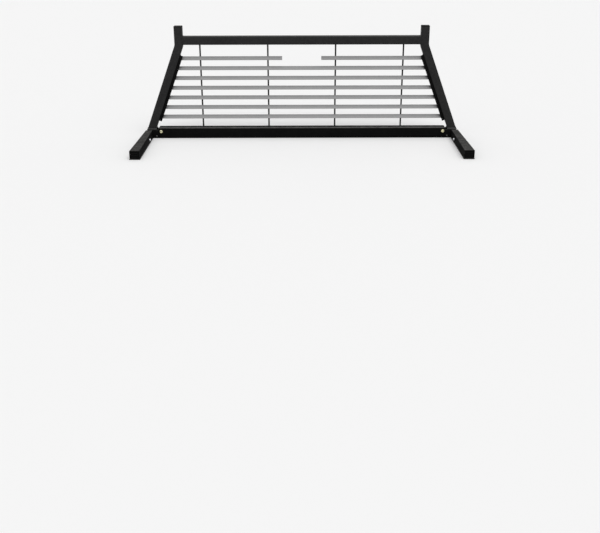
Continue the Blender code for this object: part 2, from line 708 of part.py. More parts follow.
def build_foot(word, side):
    """Build the tapered box rail that lies along the bed rail."""
    name = f"foot_rail_{word}"
    front = RAIL_FACE_Y - CLEARANCE
    rear = FOOT_END_Y + PLUG_THICKNESS + CLEARANCE
    part = add_shaped_block(
        name, foot_space(side, front, rear, FOOT_Z, FOOT_TOP_Z, 0.0), DEEP_BLACK_COAT)
    bevel(part, FOOT_CORNER, 2)
    cut(part, add_shaped_block(f"{name}_bore", foot_space(
        side, front + OVERCUT, rear - OVERCUT, FOOT_Z + FOOT_WALL, FOOT_TOP_Z - FOOT_WALL, FOOT_WALL)))
    for index, (x, y) in enumerate(anchor_points(side)):
        cut(part, add_cylinder(
            f"{name}_anchor_hole_{index + 1}", ANCHOR_RADIUS + HOLE_CLEARANCE,
            (x, y, FOOT_Z - OVERCUT), (x, y, FOOT_Z + FOOT_WALL + OVERCUT / 2),
        ))
    cut(part, add_cylinder(
        f"{name}_bolt_hole", FOOT_BOLT_RADIUS + HOLE_CLEARANCE,
        (side * (FOOT_INNER_X - OVERCUT), FOOT_BOLT_Y, FOOT_BOLT_HEIGHT),
        (side * (FOOT_INNER_X + FOOT_WALL + OVERCUT / 2), FOOT_BOLT_Y, FOOT_BOLT_HEIGHT),
    ))
    return smooth(part)


def build_foot_plug(word, side):
    """Build the plug that closes the rear end of a foot."""
    name = f"foot_plug_{word}"
    face = FOOT_END_Y + PLUG_THICKNESS
    part = add_shaped_block(
        name, foot_space(side, face, FOOT_END_Y, FOOT_Z, FOOT_TOP_Z, 0.0), BLACK_PLASTIC)
    bevel(part, CAP_CORNER, 2)
    inset = FOOT_WALL + CLEARANCE
    skirt = add_shaped_block(f"{name}_skirt", foot_space(
        side, face + CAP_REACH, face - PLUG_THICKNESS / 2, FOOT_Z + inset, FOOT_TOP_Z - inset, inset))
    inset += CAP_WALL
    cut(skirt, add_shaped_block(f"{name}_skirt_bore", foot_space(
        side, face + CAP_REACH + OVERCUT, face - PLUG_THICKNESS, FOOT_Z + inset,
        FOOT_TOP_Z - inset, inset)))
    return join(part, skirt)


def build_foot_pad(word, side):
    """Build the rubber pad under a foot."""
    name = f"foot_pad_{word}"
    front = RAIL_FACE_Y - CLEARANCE
    rear = FOOT_END_Y
    part = add_shaped_block(
        name, foot_space(side, front, rear, 0.0, PAD_THICKNESS, -PAD_LIP), BLACK_RUBBER)
    bevel(part, PAD_EDGE)
    for index, (x, y) in enumerate(anchor_points(side)):
        cut(part, add_cylinder(f"{name}_hole_{index + 1}", ANCHOR_PAD_HOLE,
                               (x, y, -OVERCUT), (x, y, PAD_THICKNESS + OVERCUT)))
    return part


# === Fasteners ================================================================================

def hex_radius(flats):
    """Return the corner radius of a hexagon from its width across flats."""
    return flats / math.sqrt(3.0)


def add_bolt(name, seat, axis, flats, head, radius, shank, finish):
    """Add a hex bolt: its head stands on the seat against the axis, its shank runs along it."""
    seat = Vector(seat)
    axis = Vector(axis)
    part = add_cylinder(name, hex_radius(flats), seat - axis * head, seat, finish, 6)
    bevel(part, HEX_CHAMFER)
    join(part, add_cylinder(f"{name}_shank", radius, seat - axis * head / 2, seat + axis * shank))
    return part


def add_nut(name, seat, axis, flats, height, radius, finish):
    """Add a hex nut that starts at the seat and goes on along the axis."""
    seat = Vector(seat)
    axis = Vector(axis)
    part = add_cylinder(name, hex_radius(flats), seat, seat + axis * height, finish, 6)
    bevel(part, HEX_CHAMFER)
    cut(part, add_cylinder(f"{name}_bore", radius + CLEARANCE,
                           seat - axis * OVERCUT, seat + axis * (height + OVERCUT)))
    return part


def add_washer(name, seat, axis, radius, bore, thickness, finish):
    """Add a flat washer that starts at the seat and goes on along the axis."""
    profile = ((radius, thickness), (radius, 0.0), (bore, 0.0), (bore, thickness))
    return add_turned(name, profile, seat, axis, finish)


def build_rail_bolt(word, side):
    """Build the bolt, washer and nut that hold the lower rail to a corner bracket."""
    x = side * RAIL_BOLT_X
    forward = (0.0, 1.0, 0.0)
    washer_y = RAIL_FACE_Y - CLEARANCE - RAIL_WASHER_THICKNESS
    seat_y = washer_y - CLEARANCE
    nut_y = BRACKET_REAR_Y + BRACKET_PLATE + CLEARANCE
    shank = nut_y + RAIL_NUT_HEIGHT + BOLT_TAIL - seat_y
    add_bolt(f"rail_bolt_{word}", (x, seat_y, RAIL_BOLT_Z), forward, RAIL_BOLT_FLATS,
             RAIL_BOLT_HEAD, RAIL_BOLT_RADIUS, shank, YELLOW_ZINC)
    add_washer(f"rail_washer_{word}", (x, washer_y, RAIL_BOLT_Z), forward, RAIL_WASHER_RADIUS,
               RAIL_BOLT_RADIUS + CLEARANCE, RAIL_WASHER_THICKNESS, YELLOW_ZINC)
    add_nut(f"rail_nut_{word}", (x, nut_y, RAIL_BOLT_Z), forward, RAIL_BOLT_FLATS,
            RAIL_NUT_HEIGHT, RAIL_BOLT_RADIUS, YELLOW_ZINC)


def build_foot_bolt(word, side):
    """Build the bolt, washer and nut that hold a foot to the bracket's tongue."""
    outward = (side, 0.0, 0.0)
    washer_x = FOOT_INNER_X - CLEARANCE - FOOT_WASHER_THICKNESS
    seat_x = washer_x - CLEARANCE
    nut_x = TONGUE_X + TONGUE_THICKNESS + CLEARANCE
    shank = nut_x + FOOT_NUT_HEIGHT + BOLT_TAIL - seat_x
    add_bolt(f"foot_bolt_{word}", (side * seat_x, FOOT_BOLT_Y, FOOT_BOLT_HEIGHT), outward,
             FOOT_BOLT_FLATS, FOOT_BOLT_HEAD, FOOT_BOLT_RADIUS, shank, BRIGHT_ZINC)
    add_washer(f"foot_washer_{word}", (side * washer_x, FOOT_BOLT_Y, FOOT_BOLT_HEIGHT), outward,
               FOOT_WASHER_RADIUS, FOOT_BOLT_RADIUS + CLEARANCE, FOOT_WASHER_THICKNESS, BRIGHT_ZINC)
    add_nut(f"foot_nut_{word}", (side * nut_x, FOOT_BOLT_Y, FOOT_BOLT_HEIGHT), outward,
            FOOT_BOLT_FLATS, FOOT_NUT_HEIGHT, FOOT_BOLT_RADIUS, BRIGHT_ZINC)


def build_bracket_screw(word, side):
    """Build the small button head screw that locates the rail on a corner bracket."""
    shank = CLEARANCE + LOWER_RAIL_SHEET + CLEARANCE + BRACKET_PLATE
    dome = [
        (SCREW_HEAD_RADIUS * math.sin(math.radians(angle)),
         SCREW_HEAD_HEIGHT * math.cos(math.radians(angle)))
        for angle in range(0, 91, 15)
    ]
    profile = dome + [(SCREW_RADIUS, 0.0), (SCREW_RADIUS, -shank), (0.0, -shank)]
    seat = (side * SCREW_X, RAIL_FACE_Y - CLEARANCE, SCREW_HEIGHT)
    add_turned(f"bracket_screw_{word}", profile, seat, (0.0, -1.0, 0.0), DEEP_BLACK_COAT)


def build_anchor_nuts(word, side):
    """Build the weld nuts inside a foot for the bolts that come up through the bed rail."""
    for place, (x, y) in zip(("front", "rear"), anchor_points(side)):
        seat = (x, y, FOOT_Z + FOOT_WALL + CLEARANCE)
        add_nut(f"anchor_nut_{word}_{place}", seat, (0.0, 0.0, 1.0), ANCHOR_FLATS,
                ANCHOR_HEIGHT, ANCHOR_RADIUS, BRIGHT_ZINC)


# === Whole rack ===============================================================================

def build_rack():
    """Build every piece of the rack."""
    build_top_rail()
    build_lower_rail()
    build_louvers()
    build_guard_rods()
    for word, side in SIDES:
        build_upright(word, side)
        build_horn_cap(word, side)
        build_side_angle(word, side)
        build_base_plate(word, side)
        build_corner_bracket(word, side)
        build_corner_pad(word, side)
        build_foot(word, side)
        build_foot_plug(word, side)
        build_foot_pad(word, side)
        build_rail_bolt(word, side)
        build_foot_bolt(word, side)
        build_bracket_screw(word, side)
        build_anchor_nuts(word, side)


build_rack()
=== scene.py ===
"""Fine pieces, finishes, light and camera for a louvered headache rack.

Metres, +Z up. X runs across the truck and the rack is symmetric about X = 0. The bed lies
towards -Y and the cab towards +Y. The pads rest on Z = 0.
"""

import json
import logging
import math
from collections.abc import Callable, Iterable, Iterator
from contextlib import contextmanager
from dataclasses import asdict, dataclass, field, replace
from enum import Enum, IntEnum

import bmesh
import bpy
from mathutils import Matrix, Vector


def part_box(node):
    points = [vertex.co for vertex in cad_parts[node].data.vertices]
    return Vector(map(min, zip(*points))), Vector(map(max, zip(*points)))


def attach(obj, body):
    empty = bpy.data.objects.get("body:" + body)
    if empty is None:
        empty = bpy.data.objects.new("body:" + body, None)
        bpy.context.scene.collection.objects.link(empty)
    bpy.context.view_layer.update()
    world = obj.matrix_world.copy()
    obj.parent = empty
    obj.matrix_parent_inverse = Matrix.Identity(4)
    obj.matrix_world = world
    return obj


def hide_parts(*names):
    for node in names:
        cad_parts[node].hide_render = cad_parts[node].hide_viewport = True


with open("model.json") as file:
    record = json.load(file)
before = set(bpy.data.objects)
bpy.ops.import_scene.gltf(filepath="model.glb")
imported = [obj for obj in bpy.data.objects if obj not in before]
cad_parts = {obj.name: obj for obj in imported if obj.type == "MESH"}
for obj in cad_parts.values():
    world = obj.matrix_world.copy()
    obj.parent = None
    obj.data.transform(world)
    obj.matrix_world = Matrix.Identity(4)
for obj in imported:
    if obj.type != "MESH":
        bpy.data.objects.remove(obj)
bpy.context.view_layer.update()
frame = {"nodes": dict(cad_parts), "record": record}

BODY = "root"
NEAR = 1e-5                             # places closer than this are one
FACING = 0.999                          # least cosine of a face that looks along a direction
ASIDE = 0.5                             # most cosine of a face that stands beside an end
FLAT = math.radians(0.2)                # facets that differ less are one flat
SMOOTH = 32.0                           # degrees between faces up to which an edge looks round
BEAD_SMOOTH = 60.0                      # the same on a weld bead, whose ripples look soft
FOLD = 40.0                             # degrees past which an edge of a bent sheet is rounded

HEXAGON = 6
WHITE = (1.0, 1.0, 1.0, 1.0)
ORIGIN = Vector((0.0, 0.0, 0.0))
ACROSS = Vector((1.0, 0.0, 0.0))
FORWARD = Vector((0.0, 1.0, 0.0))
REARWARD = Vector((0.0, -1.0, 0.0))
UP = Vector((0.0, 0.0, 1.0))
DOWN = Vector((0.0, 0.0, -1.0))

Colour = tuple[float, float, float]
Point = Vector | tuple[float, float, float]
Rule = Callable[[object], bool]
Socket = bpy.types.NodeSocket

logging.basicConfig(level=logging.INFO, format="%(message)s")
log = logging.getLogger("headache_rack")


class Side(Enum):
    """A side of the rack, by the sign of its X."""

    LEFT = -1
    RIGHT = 1

    @property
    def word(self) -> str:
        """Return the side's name as the nodes write it."""
        return self.name.lower()


class Axis(IntEnum):
    """A world axis, by its place in a vector."""

    X = 0
    Y = 1
    Z = 2


class Pick(Enum):
    """What an edit selects."""

    VERTS = "VERT"
    EDGES = "EDGE"
    FACES = "FACE"


def nodes_named(stem: str) -> list[str]:
    """Return the frame's nodes whose names start with a stem, in order."""
    return sorted(node for node in frame["nodes"] if node.startswith(stem))


# === Rules: which vertices, edges or faces an edit takes ======================================

def anything(part: object) -> bool:
    """Take everything."""
    return True


def every(*rules: Rule) -> Rule:
    """Return a rule that asks for all of several rules."""
    return lambda part: all(rule(part) for rule in rules)


def either(*rules: Rule) -> Rule:
    """Return a rule that asks for one of several rules."""
    return lambda part: any(rule(part) for rule in rules)


def on(axis: Axis, value: float) -> Rule:
    """Return a rule for edges and faces that lie at one coordinate."""
    return lambda part: all(abs(vertex.co[axis] - value) < NEAR for vertex in part.verts)


def reach_along(edge: bmesh.types.BMEdge, axis: Axis) -> float:
    """Return how far an edge reaches along an axis."""
    return abs(edge.verts[0].co[axis] - edge.verts[1].co[axis])


def along(axis: Axis, length: float) -> Rule:
    """Return a rule for the edges that reach over a whole length along an axis."""
    return lambda edge: abs(reach_along(edge, axis) - length) < NEAR


def runs(axis: Axis) -> Rule:
    """Return a rule for the edges that reach along an axis at all."""
    return lambda edge: reach_along(edge, axis) > NEAR


def looks(way: Vector) -> Rule:
    """Return a rule for the faces that look one way."""
    return lambda face: face.normal.dot(way) > FACING


def is_end(face: bmesh.types.BMFace) -> bool:
    """Tell whether a face looks straight up or down."""
    return abs(face.normal.z) > FACING


def face_at(place: Vector, across: Axis) -> Rule:
    """Return a rule for the face whose middle is at a place, wherever it is across.

    Args:
        place: the place.
        across: the axis that doesn't matter.

    Returns:
        The rule.
    """
    def rule(face: bmesh.types.BMFace) -> bool:
        """Tell whether the face is there."""
        middle = face.calc_center_median()
        return all(abs(middle[axis] - place[axis]) < NEAR for axis in Axis if axis != across)
    return rule


def rim_of(axis: Axis, value: float) -> Rule:
    """Return a rule for the outer edges of a block's end.

    Args:
        axis: the axis that the end faces along.
        value: where the end is on it.

    Returns:
        The rule.
    """
    def has_wall(edge: bmesh.types.BMEdge) -> bool:
        """Tell whether a face beside the edge turns away from the end."""
        return any(abs(face.normal[axis]) < ASIDE for face in edge.link_faces)
    return every(on(axis, value), has_wall)


# === Bench: how a piece is modelled ===========================================================

def turn_to(axis: Vector) -> Matrix:
    """Return the rotation that takes +Z to an axis."""
    return UP.rotation_difference(axis).to_matrix().to_4x4()


def deselect_all() -> None:
    """Leave edit mode and drop the selection."""
    if bpy.context.object is not None and bpy.context.object.mode != "OBJECT":
        bpy.ops.object.mode_set(mode="OBJECT")
    bpy.ops.object.select_all(action="DESELECT")


def select_only(piece: bpy.types.Object) -> None:
    """Select one piece alone and make it active.

    Args:
        piece: the piece to work on.
    """
    deselect_all()
    piece.select_set(True)
    bpy.context.view_layer.objects.active = piece


class Bench:
    """One piece on the bench: a primitive that edit-mode operators and modifiers shape.

    What shapes the piece returns the bench again, so that steps can follow each other.
    """

    def __init__(self, piece: bpy.types.Object, name: str) -> None:
        """Take a new object, name it and put its place into its mesh.

        Args:
            piece: the object.
            name: the piece's name.
        """
        self.piece = piece
        self.rename(name)
        select_only(piece)
        bpy.ops.object.transform_apply(location=True, rotation=True, scale=True)

    @classmethod
    def block(cls, name: str, low: Point, high: Point, tilt: float = 0.0) -> "Bench":
        """Start from a cube.

        Args:
            name: the piece's name.
            low: the lowest corner, before the tilt.
            high: the highest corner, before the tilt.
            tilt: the turn about X through the block's centre.

        Returns:
            The piece on the bench.
        """
        deselect_all()
        low, high = Vector(low), Vector(high)
        bpy.ops.mesh.primitive_cube_add(size=1.0, location=(low + high) / 2,
                                        rotation=(tilt, 0.0, 0.0))
        bpy.context.object.scale = high - low
        return cls(bpy.context.object, name)

    @classmethod
    def rod(cls, name: str, radius: float, low: Point, high: Point, sides: int) -> "Bench":
        """Start from a cylinder, or a prism with few sides.

        Args:
            name: the piece's name.
            radius: the radius to a corner.
            low: where the axis starts.
            high: where it ends.
            sides: how many sides go round.

        Returns:
            The piece on the bench.
        """
        deselect_all()
        low, high = Vector(low), Vector(high)
        bpy.ops.mesh.primitive_cylinder_add(
            vertices=sides, radius=radius, depth=(high - low).length,
            location=(low + high) / 2, rotation=turn_to(high - low).to_euler())
        return cls(bpy.context.object, name)

    @classmethod
    def sheet(cls, name: str, centre: Vector, length: Vector, width: Vector) -> "Bench":
        """Start from a plane, which faces along length x width.

        Args:
            name: the piece's name.
            centre: the sheet's centre.
            length: its first side, as long as the sheet.
            width: its second side, as wide as the sheet.

        Returns:
            The piece on the bench.
        """
        deselect_all()
        bpy.ops.mesh.primitive_plane_add(size=1.0)
        piece = bpy.context.object
        matrix = Matrix((length, width, length.cross(width).normalized())).transposed().to_4x4()
        matrix.translation = centre
        piece.data.transform(matrix)
        return cls(piece, name)

    @classmethod
    def ring(cls, name: str, centre: Point, radius: float, wire: float,
             steps: tuple[int, int]) -> "Bench":
        """Start from a torus that lies level.

        Args:
            name: the piece's name.
            centre: the ring's centre.
            radius: the radius to the middle of its wire.
            wire: the wire's radius.
            steps: how many steps go round the ring, and round the wire.

        Returns:
            The piece on the bench.
        """
        deselect_all()
        bpy.ops.mesh.primitive_torus_add(location=centre, major_radius=radius, minor_radius=wire,
                                         major_segments=steps[0], minor_segments=steps[1])
        return cls(bpy.context.object, name)

    @classmethod
    def softened(cls, node: str, name: str, width: float, segments: int = 2) -> "Bench":
        """Start from a copy of a node of the frame, and round its edges.

        Args:
            node: the node's name.
            name: the copy's name.
            width: the radius of the edges.
            segments: how many steps the round has.

        Returns:
            The copy on the bench.
        """
        piece = bpy.data.objects.new(name, frame["nodes"][node].data.copy())
        piece.data.materials.clear()
        bpy.context.scene.collection.objects.link(piece)
        bench = cls(piece, name)
        with bench.picked(Pick.FACES, anything):
            bpy.ops.mesh.customdata_custom_splitnormals_clear()
            bpy.ops.mesh.remove_doubles(threshold=NEAR)
            bpy.ops.mesh.dissolve_limited(angle_limit=FLAT)
        return bench.round_edges(width, segments).shade()

    def rename(self, name: str) -> None:
        """Name the piece and its mesh."""
        self.piece.name = name
        self.piece.data.name = name

    @contextmanager
    def picked(self, kind: Pick, rule: Rule) -> Iterator[None]:
        """Hold the piece in edit mode, with only what meets a rule selected.

        Args:
            kind: what is picked.
            rule: says whether one of them is picked.

        Yields:
            Nothing; operators run meanwhile.
        """
        select_only(self.piece)
        bpy.ops.object.mode_set(mode="EDIT")
        bpy.ops.mesh.select_mode(type=kind.value)
        bpy.ops.mesh.select_all(action="DESELECT")
        mesh = bmesh.from_edit_mesh(self.piece.data)
        mesh.normal_update()
        parts = {Pick.VERTS: mesh.verts, Pick.EDGES: mesh.edges, Pick.FACES: mesh.faces}[kind]
        for part in [part for part in parts if rule(part)]:
            part.select_set(True)
        mesh.select_flush_mode()
        bmesh.update_edit_mesh(self.piece.data)
        yield
        bpy.ops.object.mode_set(mode="OBJECT")

    def edit(self, kind: Pick, rule: Rule, operator: Callable[..., set[str]],
             **settings: object) -> "Bench":
        """Run an operator of edit mode on what meets a rule.

        Args:
            kind: what is picked.
            rule: says whether one of them is picked.
            operator: the operator.
            **settings: its values.

        Returns:
            The bench.
        """
        with self.picked(kind, rule):
            operator(**settings)
        return self

    def extrude(self, kind: Pick, rule: Rule, offset: Vector) -> "Bench":
        """Extrude faces or edges along an offset."""
        return self.edit(kind, rule, bpy.ops.mesh.extrude_region_move,
                         TRANSFORM_OT_translate={"value": offset})

    def move(self, rule: Rule, offset: Vector) -> "Bench":
        """Move vertices along an offset."""
        return self.edit(Pick.VERTS, rule, bpy.ops.transform.translate, value=offset)

    def resize(self, rule: Rule, factors: Point, centre: Vector = ORIGIN) -> "Bench":
        """Scale vertices about a centre."""
        return self.edit(Pick.VERTS, rule, bpy.ops.transform.resize, value=factors,
                         center_override=centre)

    def inset(self, rule: Rule, thickness: float, depth: float = 0.0) -> "Bench":
        """Inset faces, and raise their middle, or sink it where the depth is negative."""
        return self.edit(Pick.FACES, rule, bpy.ops.mesh.inset, thickness=thickness, depth=depth)

    def sink(self, way: Vector, middle: Rule, rim: float, step: float) -> "Bench":
        """Leave a rim round the face that looks one way, and sink its middle by a step."""
        self.inset(looks(way), rim)
        return self.inset(every(looks(way), middle), step, -step)

    def bevel(self, rule: Rule, width: float, segments: int) -> "Bench":
        """Round edges, by the radius that a square edge gets."""
        return self.edit(Pick.EDGES, rule, bpy.ops.mesh.bevel, offset=width, segments=segments,
                         affect="EDGES", clamp_overlap=True)

    def bisect(self, point: Point, normal: Vector, cut_off: bool = True) -> "Bench":
        """Cut along a plane, and by default take off what lies on its normal's side."""
        return self.edit(Pick.FACES, anything, bpy.ops.mesh.bisect, plane_co=point,
                         plane_no=normal, use_fill=cut_off, clear_outer=cut_off)

    def spin(self, rule: Rule, angle: float, centre: Vector, axis: Vector, steps: int) -> "Bench":
        """Sweep faces round an axis."""
        return self.edit(Pick.FACES, rule, bpy.ops.mesh.spin, steps=steps, angle=angle,
                         center=centre, axis=axis)

    def subdivide(self, rule: Rule, cuts: int) -> "Bench":
        """Cut edges into equal lengths, with loops across the faces between them."""
        return self.edit(Pick.EDGES, rule, bpy.ops.mesh.subdivide, number_cuts=cuts)

    def bridge(self, rule: Rule) -> "Bench":
        """Open a hole between two facing faces."""
        return self.edit(Pick.FACES, rule, bpy.ops.mesh.bridge_edge_loops)

    def ripple(self, low: float, length: float, ridges: int, share: float) -> "Bench":
        """Cut a form that stands along Z into rings, and draw every second one in.

        Args:
            low: where the form starts.
            length: how long it is.
            ridges: how many ridges it gets.
            share: how wide it is between two ridges, as a share of the ridges' width.

        Returns:
            The bench.
        """
        step = length / (2 * ridges)
        self.subdivide(runs(Axis.Z), 2 * ridges - 1)
        return self.resize(lambda vertex: round((vertex.co.z - low) / step) % 2 == 1,
                           (share, share, 1.0))

    def tidy_normals(self) -> "Bench":
        """Merge what touches and turn every face outward."""
        with self.picked(Pick.FACES, anything):
            bpy.ops.mesh.remove_doubles(threshold=NEAR / 4)
            bpy.ops.mesh.normals_make_consistent(inside=False)
        return self

    def modify(self, kind: str, **settings: object) -> "Bench":
        """Add a modifier and apply it.

        Args:
            kind: the modifier's type.
            **settings: its values.

        Returns:
            The bench.
        """
        select_only(self.piece)
        modifier = self.piece.modifiers.new(kind.lower(), kind)
        for key, value in settings.items():
            setattr(modifier, key, value)
        bpy.ops.object.modifier_apply(modifier=modifier.name)
        return self

    def combine(self, operation: str, tool: "Bench") -> "Bench":
        """Cut or keep the piece by another, which is used up.

        Args:
            operation: the Boolean modifier's operation.
            tool: the other piece.

        Returns:
            The bench.
        """
        self.modify("BOOLEAN", operation=operation, object=tool.piece, solver="EXACT")
        tool.drop()
        return self

    def thicken(self, thickness: float) -> "Bench":
        """Give a bent sheet its thickness, towards its back."""
        return self.modify("SOLIDIFY", thickness=thickness, offset=-1.0, use_even_offset=True)

    def round_edges(self, width: float, segments: int, angle: float = 30.0) -> "Bench":
        """Round every edge sharper than an angle in degrees."""
        return self.modify("BEVEL", width=width, segments=segments, limit_method="ANGLE",
                           angle_limit=math.radians(angle), use_clamp_overlap=True)

    def shade(self, angle: float = SMOOTH) -> "Bench":
        """Shade smooth, with edges sharp past an angle in degrees.

        Args:
            angle: the angle.

        Returns:
            The bench.
        """
        select_only(self.piece)
        bpy.ops.object.shade_smooth_by_angle(angle=math.radians(angle))
        return self

    def copy(self, name: str, matrix: Matrix) -> "Bench":
        """Copy the piece, with a mesh of its own, to another place.

        Args:
            name: the copy's name.
            matrix: where it goes from here.

        Returns:
            The copy on the bench.
        """
        select_only(self.piece)
        bpy.ops.object.duplicate(linked=False)
        twin = bpy.context.object
        twin.matrix_world = matrix
        return Bench(twin, name)

    def mirrored(self, name: str, angle: float) -> "Bench":
        """Copy the piece to the other side of the rack, and shade the copy."""
        twin = self.copy(name, Matrix.Diagonal((-1.0, 1.0, 1.0, 1.0)))
        return twin.tidy_normals().shade(angle)

    def join(self, others: Iterable["Bench"]) -> "Bench":
        """Take other pieces into this one.

        Args:
            others: the pieces that join it.

        Returns:
            The bench.
        """
        select_only(self.piece)
        for other in others:
            other.piece.select_set(True)
        bpy.ops.object.join()
        return self

    def drop(self) -> None:
        """Take the piece out of the scene."""
        bpy.data.objects.remove(self.piece, do_unlink=True)


# === Finishes =================================================================================

MIX_FACTOR, MIX_FIRST, MIX_SECOND, MIX_RESULT = 0, 6, 7, 2     # a Mix node's colour sockets
COARSE_SCALE, MOTTLE_SCALE = 0.32, 0.19     # of the coarser grains, in shares of the fine one's
HAIR_WIDTH = 0.006                          # of a hairline scratch, in the noise's own values
SPECKLE_SHARE, CLOUD_SHARE, MOTTLE_SHARE = 0.30, 0.25, 0.45     # of a finish's light colour
SCRATCH_SHARE = 0.5
CLOUD_ROUGHNESS, RUB_ROUGHNESS, DUST_ROUGHNESS = 0.07, -0.10, 0.30  # what each adds
BUMP_STRENGTH = 0.6


class Wiring:
    """Adds and links nodes in one tree."""

    def __init__(self, tree: bpy.types.NodeTree) -> None:
        """Keep the tree."""
        self.tree = tree

    def node(self, kind: str, inputs: dict[str | int, object] | None = None,
             **settings: object) -> bpy.types.Node:
        """Add a node.

        Args:
            kind: the node's type, without its ShaderNode prefix.
            inputs: what goes into its inputs, sockets or plain values.
            **settings: its own properties.

        Returns:
            The node.
        """
        node = self.tree.nodes.new(kind if kind.startswith("Node") else "ShaderNode" + kind)
        for key, value in settings.items():
            setattr(node, key, value)
        for key, value in (inputs or {}).items():
            self.feed(node.inputs[key], value)
        return node

    def feed(self, target: Socket, value: object) -> None:
        """Link a socket to an input, or set the input's plain value.

        Args:
            target: the input.
            value: a socket or a value.
        """
        if isinstance(value, Socket):
            self.tree.links.new(value, target)
        else:
            target.default_value = value

    @property
    def place(self) -> Socket:
        """Return the piece's own coordinates."""
        return self.node("TexCoord").outputs["Object"]

    def share_of(self, vector: Socket, axis: Axis) -> Socket:
        """Return a vector's part along an axis."""
        return self.node("SeparateXYZ", {"Vector": vector}).outputs[axis.name]

    def noise(self, vector: Socket, scale: object, detail: float, roughness: float = 0.5
              ) -> Socket:
        """Return a noise texture of a scale, with octaves that fade by the roughness."""
        return self.node("TexNoise", {"Scale": scale, "Detail": detail, "Vector": vector,
                                      "Roughness": roughness}).outputs["Fac"]

    def span(self, value: object, low: float, high: float, to_low: float = 0.0,
             to_high: float = 1.0) -> Socket:
        """Map a value from one range to another, smoothly and clamped.

        Args:
            value: the value.
            low: where the first range starts.
            high: where it ends.
            to_low: where the second range starts.
            to_high: where it ends.

        Returns:
            The mapped value.
        """
        node = self.node("MapRange", {"Value": value, "From Min": low, "From Max": high,
                                      "To Min": to_low, "To Max": to_high},
                         interpolation_type="SMOOTHSTEP")
        return node.outputs["Result"]

    def math(self, operation: str, first: object, second: object) -> Socket:
        """Return what an operation makes of two values."""
        return self.node("Math", {0: first, 1: second}, operation=operation).outputs[0]

    def times(self, first: object, *others: object) -> Socket:
        """Multiply values.

        Args:
            first: the first value.
            *others: the others.

        Returns:
            The product.
        """
        for other in others:
            first = self.math("MULTIPLY", first, other)
        return first

    def add_up(self, base: float, *terms: tuple[Socket, float]) -> Socket:
        """Add weighed values to a base.

        Args:
            base: what the sum starts from.
            *terms: each value and its weight.

        Returns:
            The sum.
        """
        for value, weight in terms:
            base = self.math("ADD", base, self.times(value, weight))
        return base

    def blend(self, factor: object, first: object, second: object) -> Socket:
        """Return the mix of two colours, the factor of it the second."""
        inputs = {MIX_FACTOR: factor, MIX_FIRST: first, MIX_SECOND: second}
        return self.node("Mix", inputs, data_type="RGBA").outputs[MIX_RESULT]

    def effect(self, tree: bpy.types.NodeTree, **inputs: float) -> dict[str, Socket]:
        """Place a shared effect with its own values, and return its outputs by name."""
        return dict(self.node("Group", inputs, node_tree=tree).outputs.items())


class Effect(Wiring):
    """A node group in the making, whose outputs are masks and values over a surface."""

    def __init__(self, name: str, inputs: dict[str, float], outputs: Iterable[str]) -> None:
        """Start a group with named values in and out.

        Args:
            name: the group's name.
            inputs: each input and its default.
            outputs: the outputs' names.
        """
        super().__init__(bpy.data.node_groups.new(name, "ShaderNodeTree"))
        interface = self.tree.interface
        for key, value in inputs.items():
            socket = interface.new_socket(key, in_out="INPUT", socket_type="NodeSocketFloat")
            socket.default_value = value
        for key in outputs:
            interface.new_socket(key, in_out="OUTPUT", socket_type="NodeSocketFloat")
        self.given = self.node("NodeGroupInput").outputs
        self.result = self.node("NodeGroupOutput").inputs

    def close(self, **outputs: Socket) -> bpy.types.NodeTree:
        """Wire the outputs and return the group.

        Args:
            **outputs: what each output puts out.

        Returns:
            The group.
        """
        for key, value in outputs.items():
            self.feed(self.result[key], value)
        return self.tree


def make_grain() -> bpy.types.NodeTree:
    """Make the fine texture of a sprayed or moulded surface.

    Returns:
        A group from Scale to Height, Speckle, Mottle and Cloud, from fine to broad.
    """
    effect = Effect("surface_grain", {"Scale": 700.0}, ("Height", "Speckle", "Mottle", "Cloud"))
    place, scale = effect.place, effect.given["Scale"]
    fine = effect.noise(place, scale, detail=3.0, roughness=0.6)
    coarse = effect.noise(place, effect.times(scale, COARSE_SCALE), detail=2.0)
    cells = effect.node("TexVoronoi", {"Scale": scale, "Vector": place, "Smoothness": 0.6},
                        feature="SMOOTH_F1").outputs["Distance"]
    mottle = effect.noise(place, effect.times(scale, MOTTLE_SCALE), detail=2.0, roughness=0.55)
    cloud = effect.noise(place, scale=7.0, detail=4.0, roughness=0.55)
    return effect.close(Height=effect.add_up(0.0, (fine, 1.0), (cells, -0.5), (coarse, 0.6)),
                        Speckle=effect.span(fine, 0.42, 0.68),
                        Mottle=effect.span(mottle, 0.32, 0.68),
                        Cloud=effect.span(cloud, 0.3, 0.7))


def make_dust() -> bpy.types.NodeTree:
    """Make the dust that settles on faces that look up; laid heavy and pale, it also paints light
    on those tops.

    Returns:
        A group from Amount to Mask.
    """
    effect = Effect("settled_dust", {"Amount": 0.3}, ("Mask",))
    place = effect.place
    up = effect.share_of(effect.node("NewGeometry").outputs["Normal"], Axis.Z)
    facing = effect.span(up, 0.25, 0.95)
    patches = effect.noise(place, scale=19.0, detail=6.0, roughness=0.6)
    crumbs = effect.noise(place, scale=130.0, detail=2.0)
    specks = effect.noise(place, scale=360.0, detail=3.0, roughness=0.6)
    return effect.close(Mask=effect.times(
        facing, effect.span(patches, 0.30, 0.72, 0.50, 1.0),
        effect.span(specks, 0.36, 0.66, 0.40, 1.0), effect.span(crumbs, 0.34, 0.66, 0.74, 1.0),
        effect.given["Amount"]))


